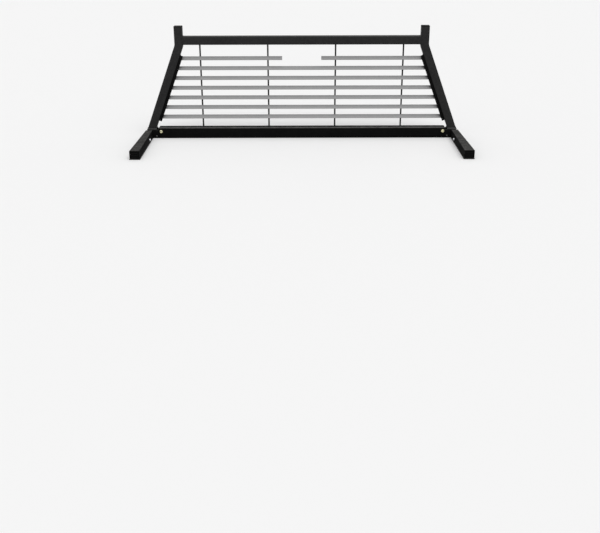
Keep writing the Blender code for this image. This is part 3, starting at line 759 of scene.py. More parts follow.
def make_wear() -> bpy.types.NodeTree:
    """Make the faint rubs and hairline scratches of handling.

    Returns:
        A group from Scale and Amount to Rub and Scratch.
    """
    effect = Effect("handling_wear", {"Scale": 9.0, "Amount": 0.5}, ("Rub", "Scratch"))
    place, amount = effect.place, effect.given["Amount"]
    rubs = effect.noise(place, effect.given["Scale"], detail=6.0, roughness=0.62)
    rub = effect.span(rubs, 0.50, 0.66)
    drawn = effect.node("Mapping", {"Vector": place, "Rotation": (0.35, 0.25, 0.60),
                                    "Scale": (9.0, 90.0, 70.0)}).outputs["Vector"]
    lines = effect.noise(drawn, scale=1.0, detail=4.0, roughness=0.7)
    off_line = effect.math("ABSOLUTE", effect.math("SUBTRACT", lines, 0.5), 0.0)
    hair = effect.span(off_line, 0.0, HAIR_WIDTH, 1.0, 0.0)
    return effect.close(Rub=effect.times(rub, amount), Scratch=effect.times(hair, rub, amount))


GRAIN = make_grain()
DUST = make_dust()
WEAR = make_wear()


@dataclass(frozen=True)
class Finish:
    """What every finish has: its slot, colours, gloss, grain, dust and wear."""

    slot: str
    colour: Colour
    light: Colour                       # what the speckle and the cloud tend to
    roughness: float
    specular: float = 0.5
    grain_scale: float = 700.0
    grain_depth: float = 0.00012
    dust: float = 0.0
    dust_colour: Colour = (0.115, 0.110, 0.102)
    wear: float = 0.3
    metallic: float = 0.0
    variant: str = ""                   # tells apart the materials of one slot

    def colours(self, wiring: Wiring, grain: dict[str, Socket], wear: dict[str, Socket]
                ) -> Socket:
        """Mix the finish's own colours.

        Args:
            wiring: the material's wiring.
            grain: the grain's outputs.
            wear: the wear's outputs.

        Returns:
            The colour before dust.
        """
        share = wiring.add_up(0.0, (grain["Speckle"], SPECKLE_SHARE),
                              (grain["Cloud"], CLOUD_SHARE), (grain["Mottle"], MOTTLE_SHARE),
                              (wear["Scratch"], SCRATCH_SHARE))
        return wiring.blend(share, (*self.colour, 1.0), (*self.light, 1.0))

    def dust_mask(self, wiring: Wiring, settled: Socket) -> Socket:
        """Return where dust lies, from where it would settle in the open."""
        return settled

    def material(self) -> bpy.types.Material:
        """Return the finish's material, made on its first use.

        Returns:
            The material.
        """
        if self in MATERIALS:
            return MATERIALS[self]
        material = bpy.data.materials.new(self.slot + self.variant + "_finish")
        material.use_nodes = True
        wiring = Wiring(material.node_tree)
        grain = wiring.effect(GRAIN, Scale=self.grain_scale)
        wear = wiring.effect(WEAR, Amount=self.wear)
        dust = self.dust_mask(wiring, wiring.effect(DUST, Amount=self.dust)["Mask"])
        bump = wiring.node("Bump", {"Height": grain["Height"], "Strength": BUMP_STRENGTH,
                                    "Distance": self.grain_depth})
        surface = {
            "Base Color": wiring.blend(dust, self.colours(wiring, grain, wear),
                                       (*self.dust_colour, 1.0)),
            "Roughness": wiring.add_up(self.roughness - CLOUD_ROUGHNESS / 2,
                                       (grain["Cloud"], CLOUD_ROUGHNESS),
                                       (wear["Rub"], RUB_ROUGHNESS), (dust, DUST_ROUGHNESS)),
            "Normal": bump.outputs["Normal"],
            "Metallic": self.metallic,
            "Specular IOR Level": self.specular,
        }
        shader = material.node_tree.nodes["Principled BSDF"]
        for key, value in surface.items():
            wiring.feed(shader.inputs[key], value)
        material.diffuse_color = (*self.colour, 1.0)
        MATERIALS[self] = material
        return material


@dataclass(frozen=True)
class ZincPlate(Finish):
    """Zinc plating on steel, whose tint drifts over each piece."""

    grain_scale: float = 1500.0
    grain_depth: float = 0.00004
    wear: float = 0.6
    metallic: float = 1.0
    drift: Colour = (0.60, 0.58, 0.55)

    def colours(self, wiring: Wiring, grain: dict[str, Socket], wear: dict[str, Socket]
                ) -> Socket:
        """Mix the plating's tints in fine patches.

        Args:
            wiring: the material's wiring.
            grain: the grain's outputs.
            wear: the wear's outputs.

        Returns:
            The colour before dust.
        """
        colour = Finish.colours(self, wiring, grain, wear)
        patches = wiring.noise(wiring.place, scale=160.0, detail=3.0)
        return wiring.blend(wiring.span(patches, 0.38, 0.66), colour, (*self.drift, 1.0))


@dataclass(frozen=True)
class DustHighlightStripCoat(Finish):
    """A coat with a painted highlight strip of dust up to a line across it, and painted shade
    past the line.
    """

    shade_from: float = 0.0                # where the painted shade starts, along Y
    fade: float = 0.016
    stray: float = 0.012                # how far the line wanders

    def dust_mask(self, wiring: Wiring, settled: Socket) -> Socket:
        """Return where dust lies: a painted highlight strip before the line, none in the painted
        shade past it.

        Args:
            wiring: the material's wiring.
            settled: the mask of dust in the open.

        Returns:
            The mask, which is zero past the line, leaving the coat dark there as painted shade.
        """
        place = wiring.place
        wander = wiring.noise(place, scale=55.0, detail=4.0, roughness=0.6)
        depth = wiring.math("ADD", wiring.share_of(place, Axis.Y),
                            wiring.span(wander, 0.3, 0.7, 0.0, self.stray))
        # one in the painted highlight strip, falling to zero in the painted shade past the line
        in_highlight_strip = wiring.span(depth, self.shade_from - self.fade, self.shade_from, 1.0, 0.0)
        return wiring.times(settled, in_highlight_strip)


MATERIALS: dict[Finish, bpy.types.Material] = {}
HIGHLIGHT_STRIP = 0.042                      # depth of the painted highlight strip on the lower rail's flange; past it, painted shade
# grey dust that also paints the light falling on the tops of the dark lower parts
GREY_DUST_AND_TOP_LIGHT = (0.150, 0.148, 0.144)

BLACK_COAT = Finish("black_coat", (0.0192, 0.0192, 0.0197), (0.0380, 0.0377, 0.0373), 0.54,
                    specular=0.07, grain_scale=620.0, grain_depth=0.00018, dust=0.30, wear=0.5)
# The base plates' coat: its heavy grey dust also paints the light on their tops.
DUST_AND_TOP_LIGHT_BLACK_COAT = replace(BLACK_COAT, dust=0.75, dust_colour=GREY_DUST_AND_TOP_LIGHT, variant="_dusty")
# A darker copy of the black coat for the lower parts and the side angles: its deeper black is
# partly painted shade, and its heavy grey dust partly paints the light on their tops.
SHADED_DEEP_BLACK_COAT = replace(BLACK_COAT, slot="deep_black_coat", colour=(0.0036, 0.0036, 0.0038),
                          light=(0.0092, 0.0091, 0.0090), roughness=0.76, specular=0.02,
                          dust=0.75, dust_colour=GREY_DUST_AND_TOP_LIGHT)
# The lower rail's coat: heavy pale dust only along the flange's rear edge paints the bend's
# highlight, and the flange past it is painted dark as the louvers' shade.
DUST_HIGHLIGHT_STRIP_BLACK_COAT = DustHighlightStripCoat(**{
    **asdict(SHADED_DEEP_BLACK_COAT), "dust": 0.90, "dust_colour": (0.190, 0.187, 0.182),
    "variant": "_sheltered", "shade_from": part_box("lower_rail")[0].y + HIGHLIGHT_STRIP})
RUBBED_BLACK_COAT = replace(SHADED_DEEP_BLACK_COAT, colour=(0.085, 0.084, 0.082),
                            light=(0.150, 0.148, 0.144), roughness=0.36, specular=0.5,
                            variant="_rubbed")
# The blades' grey is partly their coat's colour and partly a painted sheen of the light above
# them.
GREY_COAT_AND_SHEEN_BLADE = Finish("grey_blade", (0.280, 0.280, 0.283), (0.350, 0.350, 0.351), 0.48,
                    specular=0.25, grain_scale=760.0, grain_depth=0.00010, dust=0.10, wear=0.4,
                    dust_colour=(0.37, 0.365, 0.355))
BLACK_PLASTIC = Finish("black_plastic", (0.0022, 0.0022, 0.0024), (0.0050, 0.0050, 0.0050), 0.60,
                       specular=0.03, grain_scale=1100.0, grain_depth=0.00010, dust=0.30)
BLACK_RUBBER = Finish("black_rubber", (0.026, 0.026, 0.026), (0.048, 0.047, 0.046), 0.82,
                      specular=0.20, grain_scale=900.0, grain_depth=0.00022, dust=0.35)
YELLOW_ZINC = ZincPlate("yellow_zinc", (0.74, 0.69, 0.42), (0.93, 0.88, 0.60), 0.30,
                        drift=(0.58, 0.57, 0.42))
# The rail washers' coat: the yellow zinc darkened, as painted shade.
SHADED_YELLOW_ZINC = replace(YELLOW_ZINC, colour=(0.040, 0.038, 0.022), light=(0.075, 0.070, 0.044),
                     drift=(0.050, 0.048, 0.034), variant="_olive")
BRIGHT_ZINC = ZincPlate("bright_zinc", (0.62, 0.63, 0.65), (0.74, 0.74, 0.75), 0.29,
                        drift=(0.54, 0.56, 0.60))
FINISHES = {finish.slot: finish for finish in (
    BLACK_COAT, SHADED_DEEP_BLACK_COAT, GREY_COAT_AND_SHEEN_BLADE, BLACK_PLASTIC, BLACK_RUBBER, YELLOW_ZINC,
    BRIGHT_ZINC)}


def dress(bench: Bench, finish: Finish, *nodes: str) -> None:
    """Give a piece its finish, its body and the nodes it stands for.

    Args:
        bench: the piece.
        finish: its finish.
        *nodes: the frame's nodes that it replaces.
    """
    piece = bench.piece
    piece.data.materials.clear()
    piece.data.materials.append(finish.material())
    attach(piece, BODY)
    if nodes:
        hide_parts(*nodes)
    log.info("%-26s %6d faces, %s", piece.name, len(piece.data.polygons), finish.slot)


def dress_form(stem: str, side: Side, width: float, finish: Finish) -> None:
    """Dress a copy of one side's node, with edges rounded by a width, in the node's place."""
    node = f"{stem}_{side.word}"
    dress(Bench.softened(node, f"{stem}_form_{side.word}", width), finish, node)


def dress_pair(bench: Bench, finish: Finish, stem: str = "", angle: float = SMOOTH) -> None:
    """Dress a piece of the right side and its mirror image on the left.

    The image is named with left for every right, so upright_tube_right's is upleft_tube_left.

    Args:
        bench: the right piece, whose name ends in right.
        finish: their finish.
        stem: what the nodes that they replace are called before their side, if they replace any.
        angle: the angle past which edges are sharp, in degrees.
    """
    left = bench.mirrored(bench.piece.name.replace("right", "left"), angle)
    for twin, side in ((bench, Side.RIGHT), (left, Side.LEFT)):
        dress(twin, finish, *([f"{stem}_{side.word}"] if stem else []))


# === Frame ====================================================================================

@dataclass
class LegLine:
    """The leaning leg's line on the right side, which its neighbours follow."""

    lean: float = math.radians(21.1)
    low: Vector = field(init=False)
    high: Vector = field(init=False)
    tube: float = field(init=False)
    horn_x: float = field(init=False)
    elbow_z: float = field(init=False)

    def __post_init__(self) -> None:
        """Read the upright's box and find where horn and leg meet."""
        self.low, self.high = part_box("upright_right")
        self.tube = self.high.y - self.low.y
        self.horn_x = self.low.x + self.tube / 2
        reach = self.high.x - self.level_half - self.horn_x
        self.elbow_z = self.low.z + reach / math.tan(self.lean)

    @property
    def level_half(self) -> float:
        """Return half the leg's width, measured level."""
        return self.tube / 2 / math.cos(self.lean)

    @property
    def down(self) -> Vector:
        """Return the direction down the leg."""
        return Vector((math.sin(self.lean), 0.0, -math.cos(self.lean)))

    @property
    def outward(self) -> Vector:
        """Return the normal of the leg's outer face."""
        return Vector((math.cos(self.lean), 0.0, math.sin(self.lean)))

    def centre_x(self, height: float) -> float:
        """Return where the leg's centre line is at a height."""
        return self.horn_x + math.tan(self.lean) * (self.elbow_z - height)

    def inner_x(self, height: float) -> float:
        """Return where the leg's inner face is at a height."""
        return self.centre_x(height) - self.level_half


@dataclass
class Upright:
    """A bent square tube: horn, elbow and leg, with its cap."""

    leg: LegLine
    elbow_radius: float = 0.060
    elbow_steps: int = 14
    corner: float = 0.004
    corner_steps: int = 5
    corner_angle: float = 1.0           # least angle between two sides, in radians
    end_tilt: float = 0.9               # least share of Z in the normal of a face at an end
    cap_thickness: float = 0.003
    cap_edge: float = 0.0009
    cap_edge_steps: int = 3
    cap_rim: float = 0.0045
    cap_sink: float = 0.0006

    def tube(self) -> Bench:
        """Model the right tube: a block, swept round the elbow and drawn down to its base.

        Returns:
            The tube.
        """
        leg = self.leg
        low, high = leg.low, leg.high
        bend_z = leg.elbow_z + self.elbow_radius * math.tan(leg.lean / 2)
        bench = Bench.block("upright_tube_right", (low.x, low.y, bend_z),
                            (low.x + leg.tube, high.y, high.z))
        centre = Vector((leg.horn_x + self.elbow_radius, 0.0, bend_z))
        bench.spin(on(Axis.Z, bend_z), leg.lean, centre, FORWARD, self.elbow_steps)
        bench.tidy_normals()
        bench.extrude(Pick.FACES, looks(leg.down),
                      leg.down * (bend_z - low.z + leg.tube) / math.cos(leg.lean))
        bench.bisect((0.0, 0.0, low.z), DOWN)
        bench.bevel(self.is_corner, self.corner, self.corner_steps)
        return bench.tidy_normals().shade()

    def is_corner(self, edge: bmesh.types.BMEdge) -> bool:
        """Tell whether an edge is a corner along the tube, and not one of its ends' edges."""
        at_end = any(abs(face.normal.z) > self.end_tilt for face in edge.link_faces)
        return not at_end and edge.calc_face_angle(0.0) > self.corner_angle

    def cap(self) -> Bench:
        """Model the right horn's cap: a plate with a raised, rounded rim.

        Returns:
            The cap.
        """
        low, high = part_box("horn_cap_right")
        bench = Bench.block("horn_cap_top_right", (low.x, low.y, high.z - self.cap_thickness),
                            high)
        bench.sink(UP, face_at((low + high) / 2, Axis.Z), self.cap_rim, self.cap_sink)
        bench.bevel(along(Axis.Z, self.cap_thickness), self.corner, self.corner_steps)
        bench.bevel(rim_of(Axis.Z, high.z), self.cap_edge, self.cap_edge_steps)
        return bench.shade()

    def build(self) -> None:
        """Build both uprights and both caps."""
        dress_pair(self.tube(), BLACK_COAT, "upright")
        dress_pair(self.cap(), BLACK_PLASTIC, "horn_cap")


@dataclass
class Rails:
    """The top rail's tube and the lower rail's formed channel."""

    corner: float = 0.004
    corner_steps: int = 5
    sheet: float = 0.003
    bend: float = 0.0035
    bend_steps: int = 6
    edge: float = 0.0005
    edge_steps: int = 2
    notch: float = 0.016                # end of the flanges to the base plate
    tab_gap: float = 0.0003

    def top(self) -> Bench:
        """Model the top rail.

        Returns:
            The rail.
        """
        low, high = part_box("top_rail")
        bench = Bench.block("top_rail_tube", low, high)
        return bench.bevel(runs(Axis.X), self.corner, self.corner_steps).shade()

    def lower(self) -> Bench:
        """Model the lower rail: a web, two flanges turned over and a tab at each end.

        Returns:
            The rail.
        """
        low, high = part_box("lower_rail")
        plate_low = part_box("base_plate_right")[0]
        end_x = plate_low.x - self.notch
        tab_z = plate_low.z - self.tab_gap
        on_web = on(Axis.Y, low.y)
        bench = Bench.sheet("lower_rail_channel", Vector((0.0, low.y, (low.z + high.z) / 2)),
                            ACROSS * (2 * end_x), UP * (high.z - low.z))
        bench.bisect((0.0, 0.0, tab_z), UP, cut_off=False)
        for height in (high.z, low.z):
            bench.extrude(Pick.EDGES, every(on(Axis.Z, height), on_web),
                          FORWARD * (high.y - low.y))
        bench.bevel(every(on_web, either(on(Axis.Z, low.z), on(Axis.Z, high.z))),
                    self.bend, self.bend_steps)
        for side in Side:
            bench.extrude(Pick.EDGES,
                          every(on(Axis.X, side.value * end_x), on_web,
                                lambda edge: all(v.co.z < tab_z + NEAR for v in edge.verts)),
                          ACROSS * (side.value * (high.x - end_x)))
        return bench.thicken(self.sheet).round_edges(self.edge, self.edge_steps, FOLD).shade()

    def build(self) -> None:
        """Build both rails."""
        dress(self.top(), BLACK_COAT, "top_rail")
        # its coat paints a highlight strip along the flange's rear edge and shade past it
        dress(self.lower(), DUST_HIGHLIGHT_STRIP_BLACK_COAT, "lower_rail")


# === Louver panel =============================================================================

@dataclass
class LouverPanel:
    """The slanted blades, the angles that hold their ends and the guard rods."""

    leg: LegLine
    tilt: float = math.radians(45.0)
    width: float = 0.027
    thickness: float = 0.003
    nose: float = 0.0010
    nose_steps: int = 4
    cut_edge: float = 0.0003
    cut_angle: float = 50.0             # degrees past which an edge belongs to a cut end
    edge_steps: int = 2
    angle_sheet: float = 0.003
    angle_flange: float = 0.018
    angle_bend: float = 0.0035
    angle_bend_steps: int = 4
    angle_edge: float = 0.0004
    gap: float = 0.0003
    rod_sides: int = 40

    def blade(self, node: str) -> Bench:
        """Model a blade: a tilted flat bar with rounded edges, cut to the legs' lean.

        Args:
            node: the blade's node.

        Returns:
            The blade.
        """
        low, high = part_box(node)
        centre = (low + high) / 2
        half = Vector(((high.x - low.x) / 2, self.width / 2, self.thickness / 2))
        bench = Bench.block(node.replace("louver", "blade"), centre - half, centre + half,
                            self.tilt)
        bench.bevel(along(Axis.X, high.x - low.x), self.nose, self.nose_steps)
        slope = math.tan(self.leg.lean) * (high.z - low.z) / 2
        for side, end in ((Side.LEFT, low.x), (Side.RIGHT, high.x)):
            if abs(end) > self.leg.horn_x / 2:      # ends at the cut-out stay square
                normal = self.leg.outward.copy()
                normal.x *= side.value
                bench.bisect(Vector((end - side.value * slope, 0.0, centre.z)), normal)
        return bench.round_edges(self.cut_edge, self.edge_steps, self.cut_angle).shade()

    def side_angle(self) -> Bench:
        """Model the right side angle: a leaning strip with one flange turned inboard.

        Returns:
            The angle.
        """
        low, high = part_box("side_angle_right")
        leg = self.leg
        flange_drop = self.angle_flange * math.sin(leg.lean)
        length = (high.z - low.z - flange_drop) / math.cos(leg.lean)
        middle_z = high.z - length * math.cos(leg.lean) / 2
        middle = Vector((leg.inner_x(middle_z), (low.y + high.y) / 2, middle_z))
        bench = Bench.sheet("side_angle_strip_right", middle - leg.outward * self.gap,
                            -leg.down * length, REARWARD * (high.y - low.y))
        rear = on(Axis.Y, low.y)
        bench.extrude(Pick.EDGES, rear, -leg.outward * self.angle_flange)
        bench.bevel(every(rear, lambda edge: len(edge.link_faces) == 2),
                    self.angle_bend, self.angle_bend_steps)
        bench.thicken(self.angle_sheet)
        return bench.round_edges(self.angle_edge, self.edge_steps, FOLD).shade()

    def build(self) -> None:
        """Build the blades, the side angles and the rods."""
        for node in nodes_named("louver"):
            dress(self.blade(node), GREY_COAT_AND_SHEEN_BLADE, node)
        # The side angles' deeper black also paints the shade along the legs' inner faces.
        dress_pair(self.side_angle(), SHADED_DEEP_BLACK_COAT, "side_angle")
        rods = nodes_named("guard_rod")
        low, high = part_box(rods[0])
        middle = (low + high) / 2
        master = Bench.rod("rod_master", (high.y - low.y) / 2, (middle.x, middle.y, low.z),
                           (middle.x, middle.y, high.z), self.rod_sides).shade()
        for node in rods:
            shift = Matrix.Translation(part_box(node)[0] - low)
            dress(master.copy(node.replace("guard_rod", "rod"), shift).shade(), BLACK_COAT, node)
        master.drop()


# === Corners and feet =========================================================================

@dataclass
class Corner:
    """What stands at a corner: the base plate, the bracket and its pad."""

    plate_edge: float = 0.0012
    plate_edge_steps: int = 3
    bracket_edge: float = 0.0007
    pad_edge: float = 0.0004

    def build(self) -> None:
        """Build both corners."""
        plate = Bench.block("base_plate_steel_right", *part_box("base_plate_right"))
        dress_pair(plate.round_edges(self.plate_edge, self.plate_edge_steps).shade(),
                   DUST_AND_TOP_LIGHT_BLACK_COAT, "base_plate")
        for side in Side:
            dress_form("corner_bracket", side, self.bracket_edge, SHADED_DEEP_BLACK_COAT)
            dress_form("corner_pad", side, self.pad_edge, BLACK_RUBBER)


@dataclass
class Foot:
    """A tapered foot with its end plug and its pad."""

    front_width: float = 0.040
    edge: float = 0.0025
    edge_steps: int = 4
    plug_thickness: float = 0.004
    plug_edge: float = 0.0015
    plug_edge_steps: int = 3
    plug_rim: float = 0.0060
    plug_step: float = 0.0008
    plug_bands: int = 5                 # strips of the sunk panel; every second is a rib
    rib_slope: float = 0.0008
    pad_edge: float = 0.0004

    def rail(self) -> Bench:
        """Model the right foot: a block whose outer side is drawn in at the front.

        Returns:
            The foot.
        """
        low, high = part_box("foot_rail_right")
        bench = Bench.block("foot_tube_right", low, high)
        bench.move(lambda v: abs(v.co.y - high.y) < NEAR and abs(v.co.x - high.x) < NEAR,
                   ACROSS * (self.front_width - (high.x - low.x)))
        return bench.round_edges(self.edge, self.edge_steps).shade()

    def plug(self) -> Bench:
        """Model the right foot's end plug: a plate with a sunk panel and ribs across it.

        Returns:
            The plug.
        """
        low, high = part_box("foot_plug_right")
        bench = Bench.block("foot_plug_cap_right", low,
                            (high.x, low.y + self.plug_thickness, high.z))
        bench.sink(REARWARD, face_at((low + high) / 2, Axis.Y), self.plug_rim, self.plug_step)
        panel = on(Axis.Y, low.y + self.plug_step)
        bench.subdivide(every(panel, runs(Axis.Z)), self.plug_bands - 1)
        margin = self.plug_rim + self.plug_step
        band = (high.z - low.z - 2 * margin) / self.plug_bands

        def is_rib(face: bmesh.types.BMFace) -> bool:
            """Tell whether a face lies on a band that becomes a rib."""
            return int((face.calc_center_median().z - low.z - margin) / band) % 2 == 1

        bench.inset(every(panel, is_rib), self.rib_slope, self.plug_step)
        bench.bevel(along(Axis.Y, self.plug_thickness), self.edge, self.edge_steps)
        bench.bevel(rim_of(Axis.Y, low.y), self.plug_edge, self.plug_edge_steps)
        return bench.shade()

    def build(self) -> None:
        """Build both feet."""
        dress_pair(self.rail(), SHADED_DEEP_BLACK_COAT, "foot_rail")
        dress_pair(self.plug(), BLACK_PLASTIC, "foot_plug")
        for side in Side:
            dress_form("foot_pad", side, self.pad_edge, BLACK_RUBBER)


# === Fasteners ================================================================================

@dataclass
class HexBolt:
    """A hex bolt with a chamfered head and a threaded tail, its washer and its nut."""

    stem: str
    flats: float
    head: float
    radius: float
    washer_radius: float
    washer_thickness: float
    axis: Axis
    finish: Finish
    washer_finish: Finish
    pitch: float
    corner_share: float = 1.108         # across corners, in widths across flats
    crown_share: float = 0.93
    crown_angle: float = math.radians(30.0)
    cone_sides: int = 60
    edge: float = 0.00015
    edge_angle: float = 20.0
    sharp: float = 25.0                 # degrees past which the bolt's edges look sharp
    shank_sides: int = 24
    thread_share: float = 0.90          # the thread's root, in widths of the shank
    washer_sides: int = 40
    washer_edge: float = 0.00035
    nut_edge: float = 0.0003
    edge_steps: int = 2
    gap: float = 0.0003

    def head_form(self) -> Bench:
        """Model the head at the origin: a hexagon whose corners a cone trims.

        Returns:
            The head, up from Z = 0.
        """
        top = self.head
        rim = self.flats * self.corner_share / 2
        crown = self.flats * self.crown_share / 2
        fall = (rim - crown) * math.tan(self.crown_angle)
        head = Bench.rod(f"{self.stem}_master", self.flats / math.sqrt(3.0), ORIGIN, UP * top,
                         HEXAGON)
        cone = Bench.rod("cone", rim, DOWN * top, UP * (top - fall), self.cone_sides)
        cone.extrude(Pick.FACES, on(Axis.Z, top - fall), UP * fall)
        cone.resize(lambda vertex: abs(vertex.co.z - top) < NEAR,
                    (crown / rim, crown / rim, 1.0), UP * top)
        return head.combine("INTERSECT", cone)

    def master(self, length: float) -> Bench:
        """Model the bolt at the origin: its seat at Z = 0 and its shank down -Z.

        Args:
            length: seat to the end of the shank.

        Returns:
            The bolt.
        """
        head = self.head_form().round_edges(self.edge, self.edge_steps, self.edge_angle)
        shank = Bench.rod("shank", self.radius, ORIGIN, DOWN * length, self.shank_sides)
        shank.ripple(-length, length, round(length / self.pitch), self.thread_share)
        return head.join([shank]).shade(self.sharp)

    def washer(self) -> Bench:
        """Model the washer at the origin, between Z = 0 and its thickness.

        Returns:
            The washer.
        """
        bench = Bench.rod(f"{self.stem}_washer_master", self.washer_radius, ORIGIN,
                          UP * self.washer_thickness, self.washer_sides)
        bench.inset(is_end, self.washer_radius - self.radius - self.gap)
        bench.bridge(every(is_end, lambda face: len(face.verts) == self.washer_sides))
        return bench.round_edges(self.washer_edge, self.edge_steps).tidy_normals().shade()

    def build(self) -> None:
        """Place a bolt, a washer and a nut on each side."""
        low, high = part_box(f"{self.stem}_bolt_left")
        bolt = self.master((high - low)[self.axis] - self.head)
        washer = self.washer()
        for side in Side:
            end = f"{self.stem}_{side.word}"
            way = Vector(ORIGIN)
            way[self.axis] = -1.0 if self.axis is Axis.Y else -float(side.value)
            low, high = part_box(f"{self.stem}_bolt_{side.word}")
            seat = (low + high) / 2 + way * ((high - low)[self.axis] / 2 - self.head)
            dress(bolt.copy(f"hex_bolt_{end}", Matrix.Translation(seat) @ turn_to(way))
                  .shade(self.sharp), self.finish, f"{self.stem}_bolt_{side.word}")
            low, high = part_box(f"{self.stem}_washer_{side.word}")
            foot = (low + high) / 2 - way * self.washer_thickness / 2
            dress(washer.copy(f"flat_washer_{end}", Matrix.Translation(foot) @ turn_to(way))
                  .shade(), self.washer_finish, f"{self.stem}_washer_{side.word}")
            nut = f"{self.stem}_nut_{side.word}"
            dress(Bench.softened(nut, f"hex_nut_{end}", self.nut_edge), self.finish, nut)
        bolt.drop()
        washer.drop()


@dataclass
class ButtonScrew:
    """The small button head screw with a hex socket that locates the lower rail."""

    head_radius: float = 0.0040
    head: float = 0.0022
    head_sides: int = 28
    dome: float = 0.0017
    dome_steps: int = 5
    socket_radius: float = 0.0014
    socket_depth: float = 0.0012
    radius: float = 0.0020
    shank_sides: int = 20
    sharp: float = 28.0                 # degrees past which its edges look sharp

    def build(self) -> None:
        """Model the screw once and place a copy on each side."""
        screw = Bench.rod("screw_master", self.head_radius, ORIGIN, UP * self.head,
                          self.head_sides)
        screw.bevel(on(Axis.Z, self.head), self.dome, self.dome_steps)
        screw.combine("DIFFERENCE", Bench.rod("socket", self.socket_radius,
                                              UP * (self.head - self.socket_depth),
                                              UP * (self.head + self.socket_depth),
                                              HEXAGON))
        for side in Side:
            node = f"bracket_screw_{side.word}"
            low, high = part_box(node)
            middle = (low + high) / 2
            seat = Vector((middle.x, low.y + self.head, middle.z))
            twin = screw.copy(f"button_screw_{side.word}",
                              Matrix.Translation(seat) @ turn_to(REARWARD))
            shank = Bench.rod("shank", self.radius, seat, (middle.x, high.y, middle.z),
                              self.shank_sides)
            dress(twin.join([shank]).shade(self.sharp), RUBBED_BLACK_COAT, node)
        screw.drop()


# === Welds ====================================================================================

@dataclass
class Welds:
    """Rippled weld beads, painted over with the frame."""

    leg: LegLine
    radius: float = 0.0024
    pitch: float = 0.0021
    ripple: float = 0.82
    end_share: float = 0.45             # a bead's ends, in widths of the bead
    sides: int = 10
    tube_run: float = 0.040
    blade_run: float = 0.018
    blade_lift: float = 0.0008          # from the blade's centre towards its upper face
    stitch_run: float = 0.030
    stitch_places: tuple[float, ...] = (0.12, 0.38, 0.64, 0.90)
    base_rise: float = 0.25             # these three in radii of the bead
    rail_sink: float = 0.72
    stitch_sink: float = 0.3
    ring_wire: float = 0.0016
    ring_spread: float = 0.0006
    ring_inset: float = 0.0004
    ring_steps: tuple[int, int] = (28, 10)
    masters: dict[float, Bench] = field(default_factory=dict)

    def bead(self, length: float) -> Bench:
        """Return the master bead of a length, along Z about the origin.

        Args:
            length: its length.

        Returns:
            The bead.
        """
        if length not in self.masters:
            half = length / 2
            bench = Bench.rod(f"bead_{len(self.masters)}", self.radius, DOWN * half, UP * half,
                              self.sides)
            bench.ripple(-half, length, round(half / self.pitch) + 1, self.ripple)
            bench.resize(lambda vertex: abs(abs(vertex.co.z) - half) < NEAR,
                         (self.end_share, self.end_share, 1.0))
            self.masters[length] = bench.shade(BEAD_SMOOTH)
        return self.masters[length]

    def lay(self, name: str, middle: Vector, way: Vector, length: float) -> Bench:
        """Lay a copy of a bead about a middle, along a way."""
        return self.bead(length).copy(name, Matrix.Translation(middle) @ turn_to(way))

    def leg_base(self) -> list[Bench]:
        """Lay the beads round the right leg's foot.

        Returns:
            The beads.
        """
        leg = self.leg
        x, y = leg.centre_x(leg.low.z), (leg.low.y + leg.high.y) / 2
        z = leg.low.z + self.radius * self.base_rise
        runs_round = (((x, leg.low.y, z), ACROSS), ((x, leg.high.y, z), ACROSS),
                      ((x - leg.level_half, y, z), FORWARD),
                      ((x + leg.level_half, y, z), FORWARD))
        return [self.lay(f"base_run_{index}", Vector(middle), way, self.tube_run)
                for index, (middle, way) in enumerate(runs_round)]

    def rail_end(self) -> list[Bench]:
        """Lay the beads where the top rail meets the right horn.

        Returns:
            The beads.
        """
        low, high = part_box("top_rail")
        x, y, z = high.x, (low.y + high.y) / 2, (low.z + high.z) / 2
        sink = self.radius * self.rail_sink
        return [self.lay(f"rail_run_{word}", Vector(middle), way, self.tube_run)
                for word, middle, way in (("top", (x, y, high.z), FORWARD),
                                          ("under", (x, y, low.z), FORWARD),
                                          ("rear", (x, low.y + sink, z), UP),
                                          ("front", (x, high.y - sink, z), UP))]

    def blade_ends(self) -> list[Bench]:
        """Lay a short bead at each blade's right end, on its upper face.

        Returns:
            The beads.
        """
        beads = []
        for node in nodes_named("louver"):
            if not node.endswith("left"):
                low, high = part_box(node)
                middle = (low + high) / 2 + (UP - FORWARD) * self.blade_lift
                middle.x = high.x - math.tan(self.leg.lean) * (high.z - low.z) / 2
                beads.append(self.lay(f"{node}_run", middle, (FORWARD + UP).normalized(),
                                      self.blade_run))
        return beads

    def stitches(self) -> list[Bench]:
        """Lay stitches between the right side angle and the leg.

        Returns:
            The beads.
        """
        low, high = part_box("side_angle_right")
        beads = []
        for index, share in enumerate(self.stitch_places):
            z = low.z + (high.z - low.z) * share
            middle = Vector((self.leg.inner_x(z) - self.radius * self.stitch_sink, high.y, z))
            beads.append(self.lay(f"stitch_{index}", middle, -self.leg.down, self.stitch_run))
        return beads

    def rod_rings(self) -> list[Bench]:
        """Lay a ring of weld at both ends of each rod.

        Returns:
            The rings.
        """
        rings = []
        for node in nodes_named("guard_rod"):
            low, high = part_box(node)
            middle = (low + high) / 2
            for z in (low.z + self.ring_inset, high.z - self.ring_inset):
                rings.append(Bench.ring("rod_weld", (middle.x, middle.y, z),
                                        (high.y - low.y) / 2 + self.ring_spread,
                                        self.ring_wire, self.ring_steps))
        return rings

    def build(self) -> None:
        """Lay every bead and join them into a few pieces."""
        for name, beads in (("weld_leg_base_right", self.leg_base()),
                            ("weld_rail_end_right", self.rail_end()),
                            ("weld_blade_ends_right", self.blade_ends()),
                            ("weld_stitches_right", self.stitches())):
            dress_pair(self.grouped(name, beads), BLACK_COAT, angle=BEAD_SMOOTH)
        dress(self.grouped("weld_rod_ends", self.rod_rings()), BLACK_COAT)
        for bead in self.masters.values():
            bead.drop()

    @staticmethod
    def grouped(name: str, beads: list[Bench]) -> Bench:
        """Join beads into one piece.

        Args:
            name: the piece's name.
            beads: the beads.

        Returns:
            The piece.
        """
        group = beads[0].join(beads[1:])
        group.rename(name)
        return group.shade(BEAD_SMOOTH)


# === Studio ===================================================================================

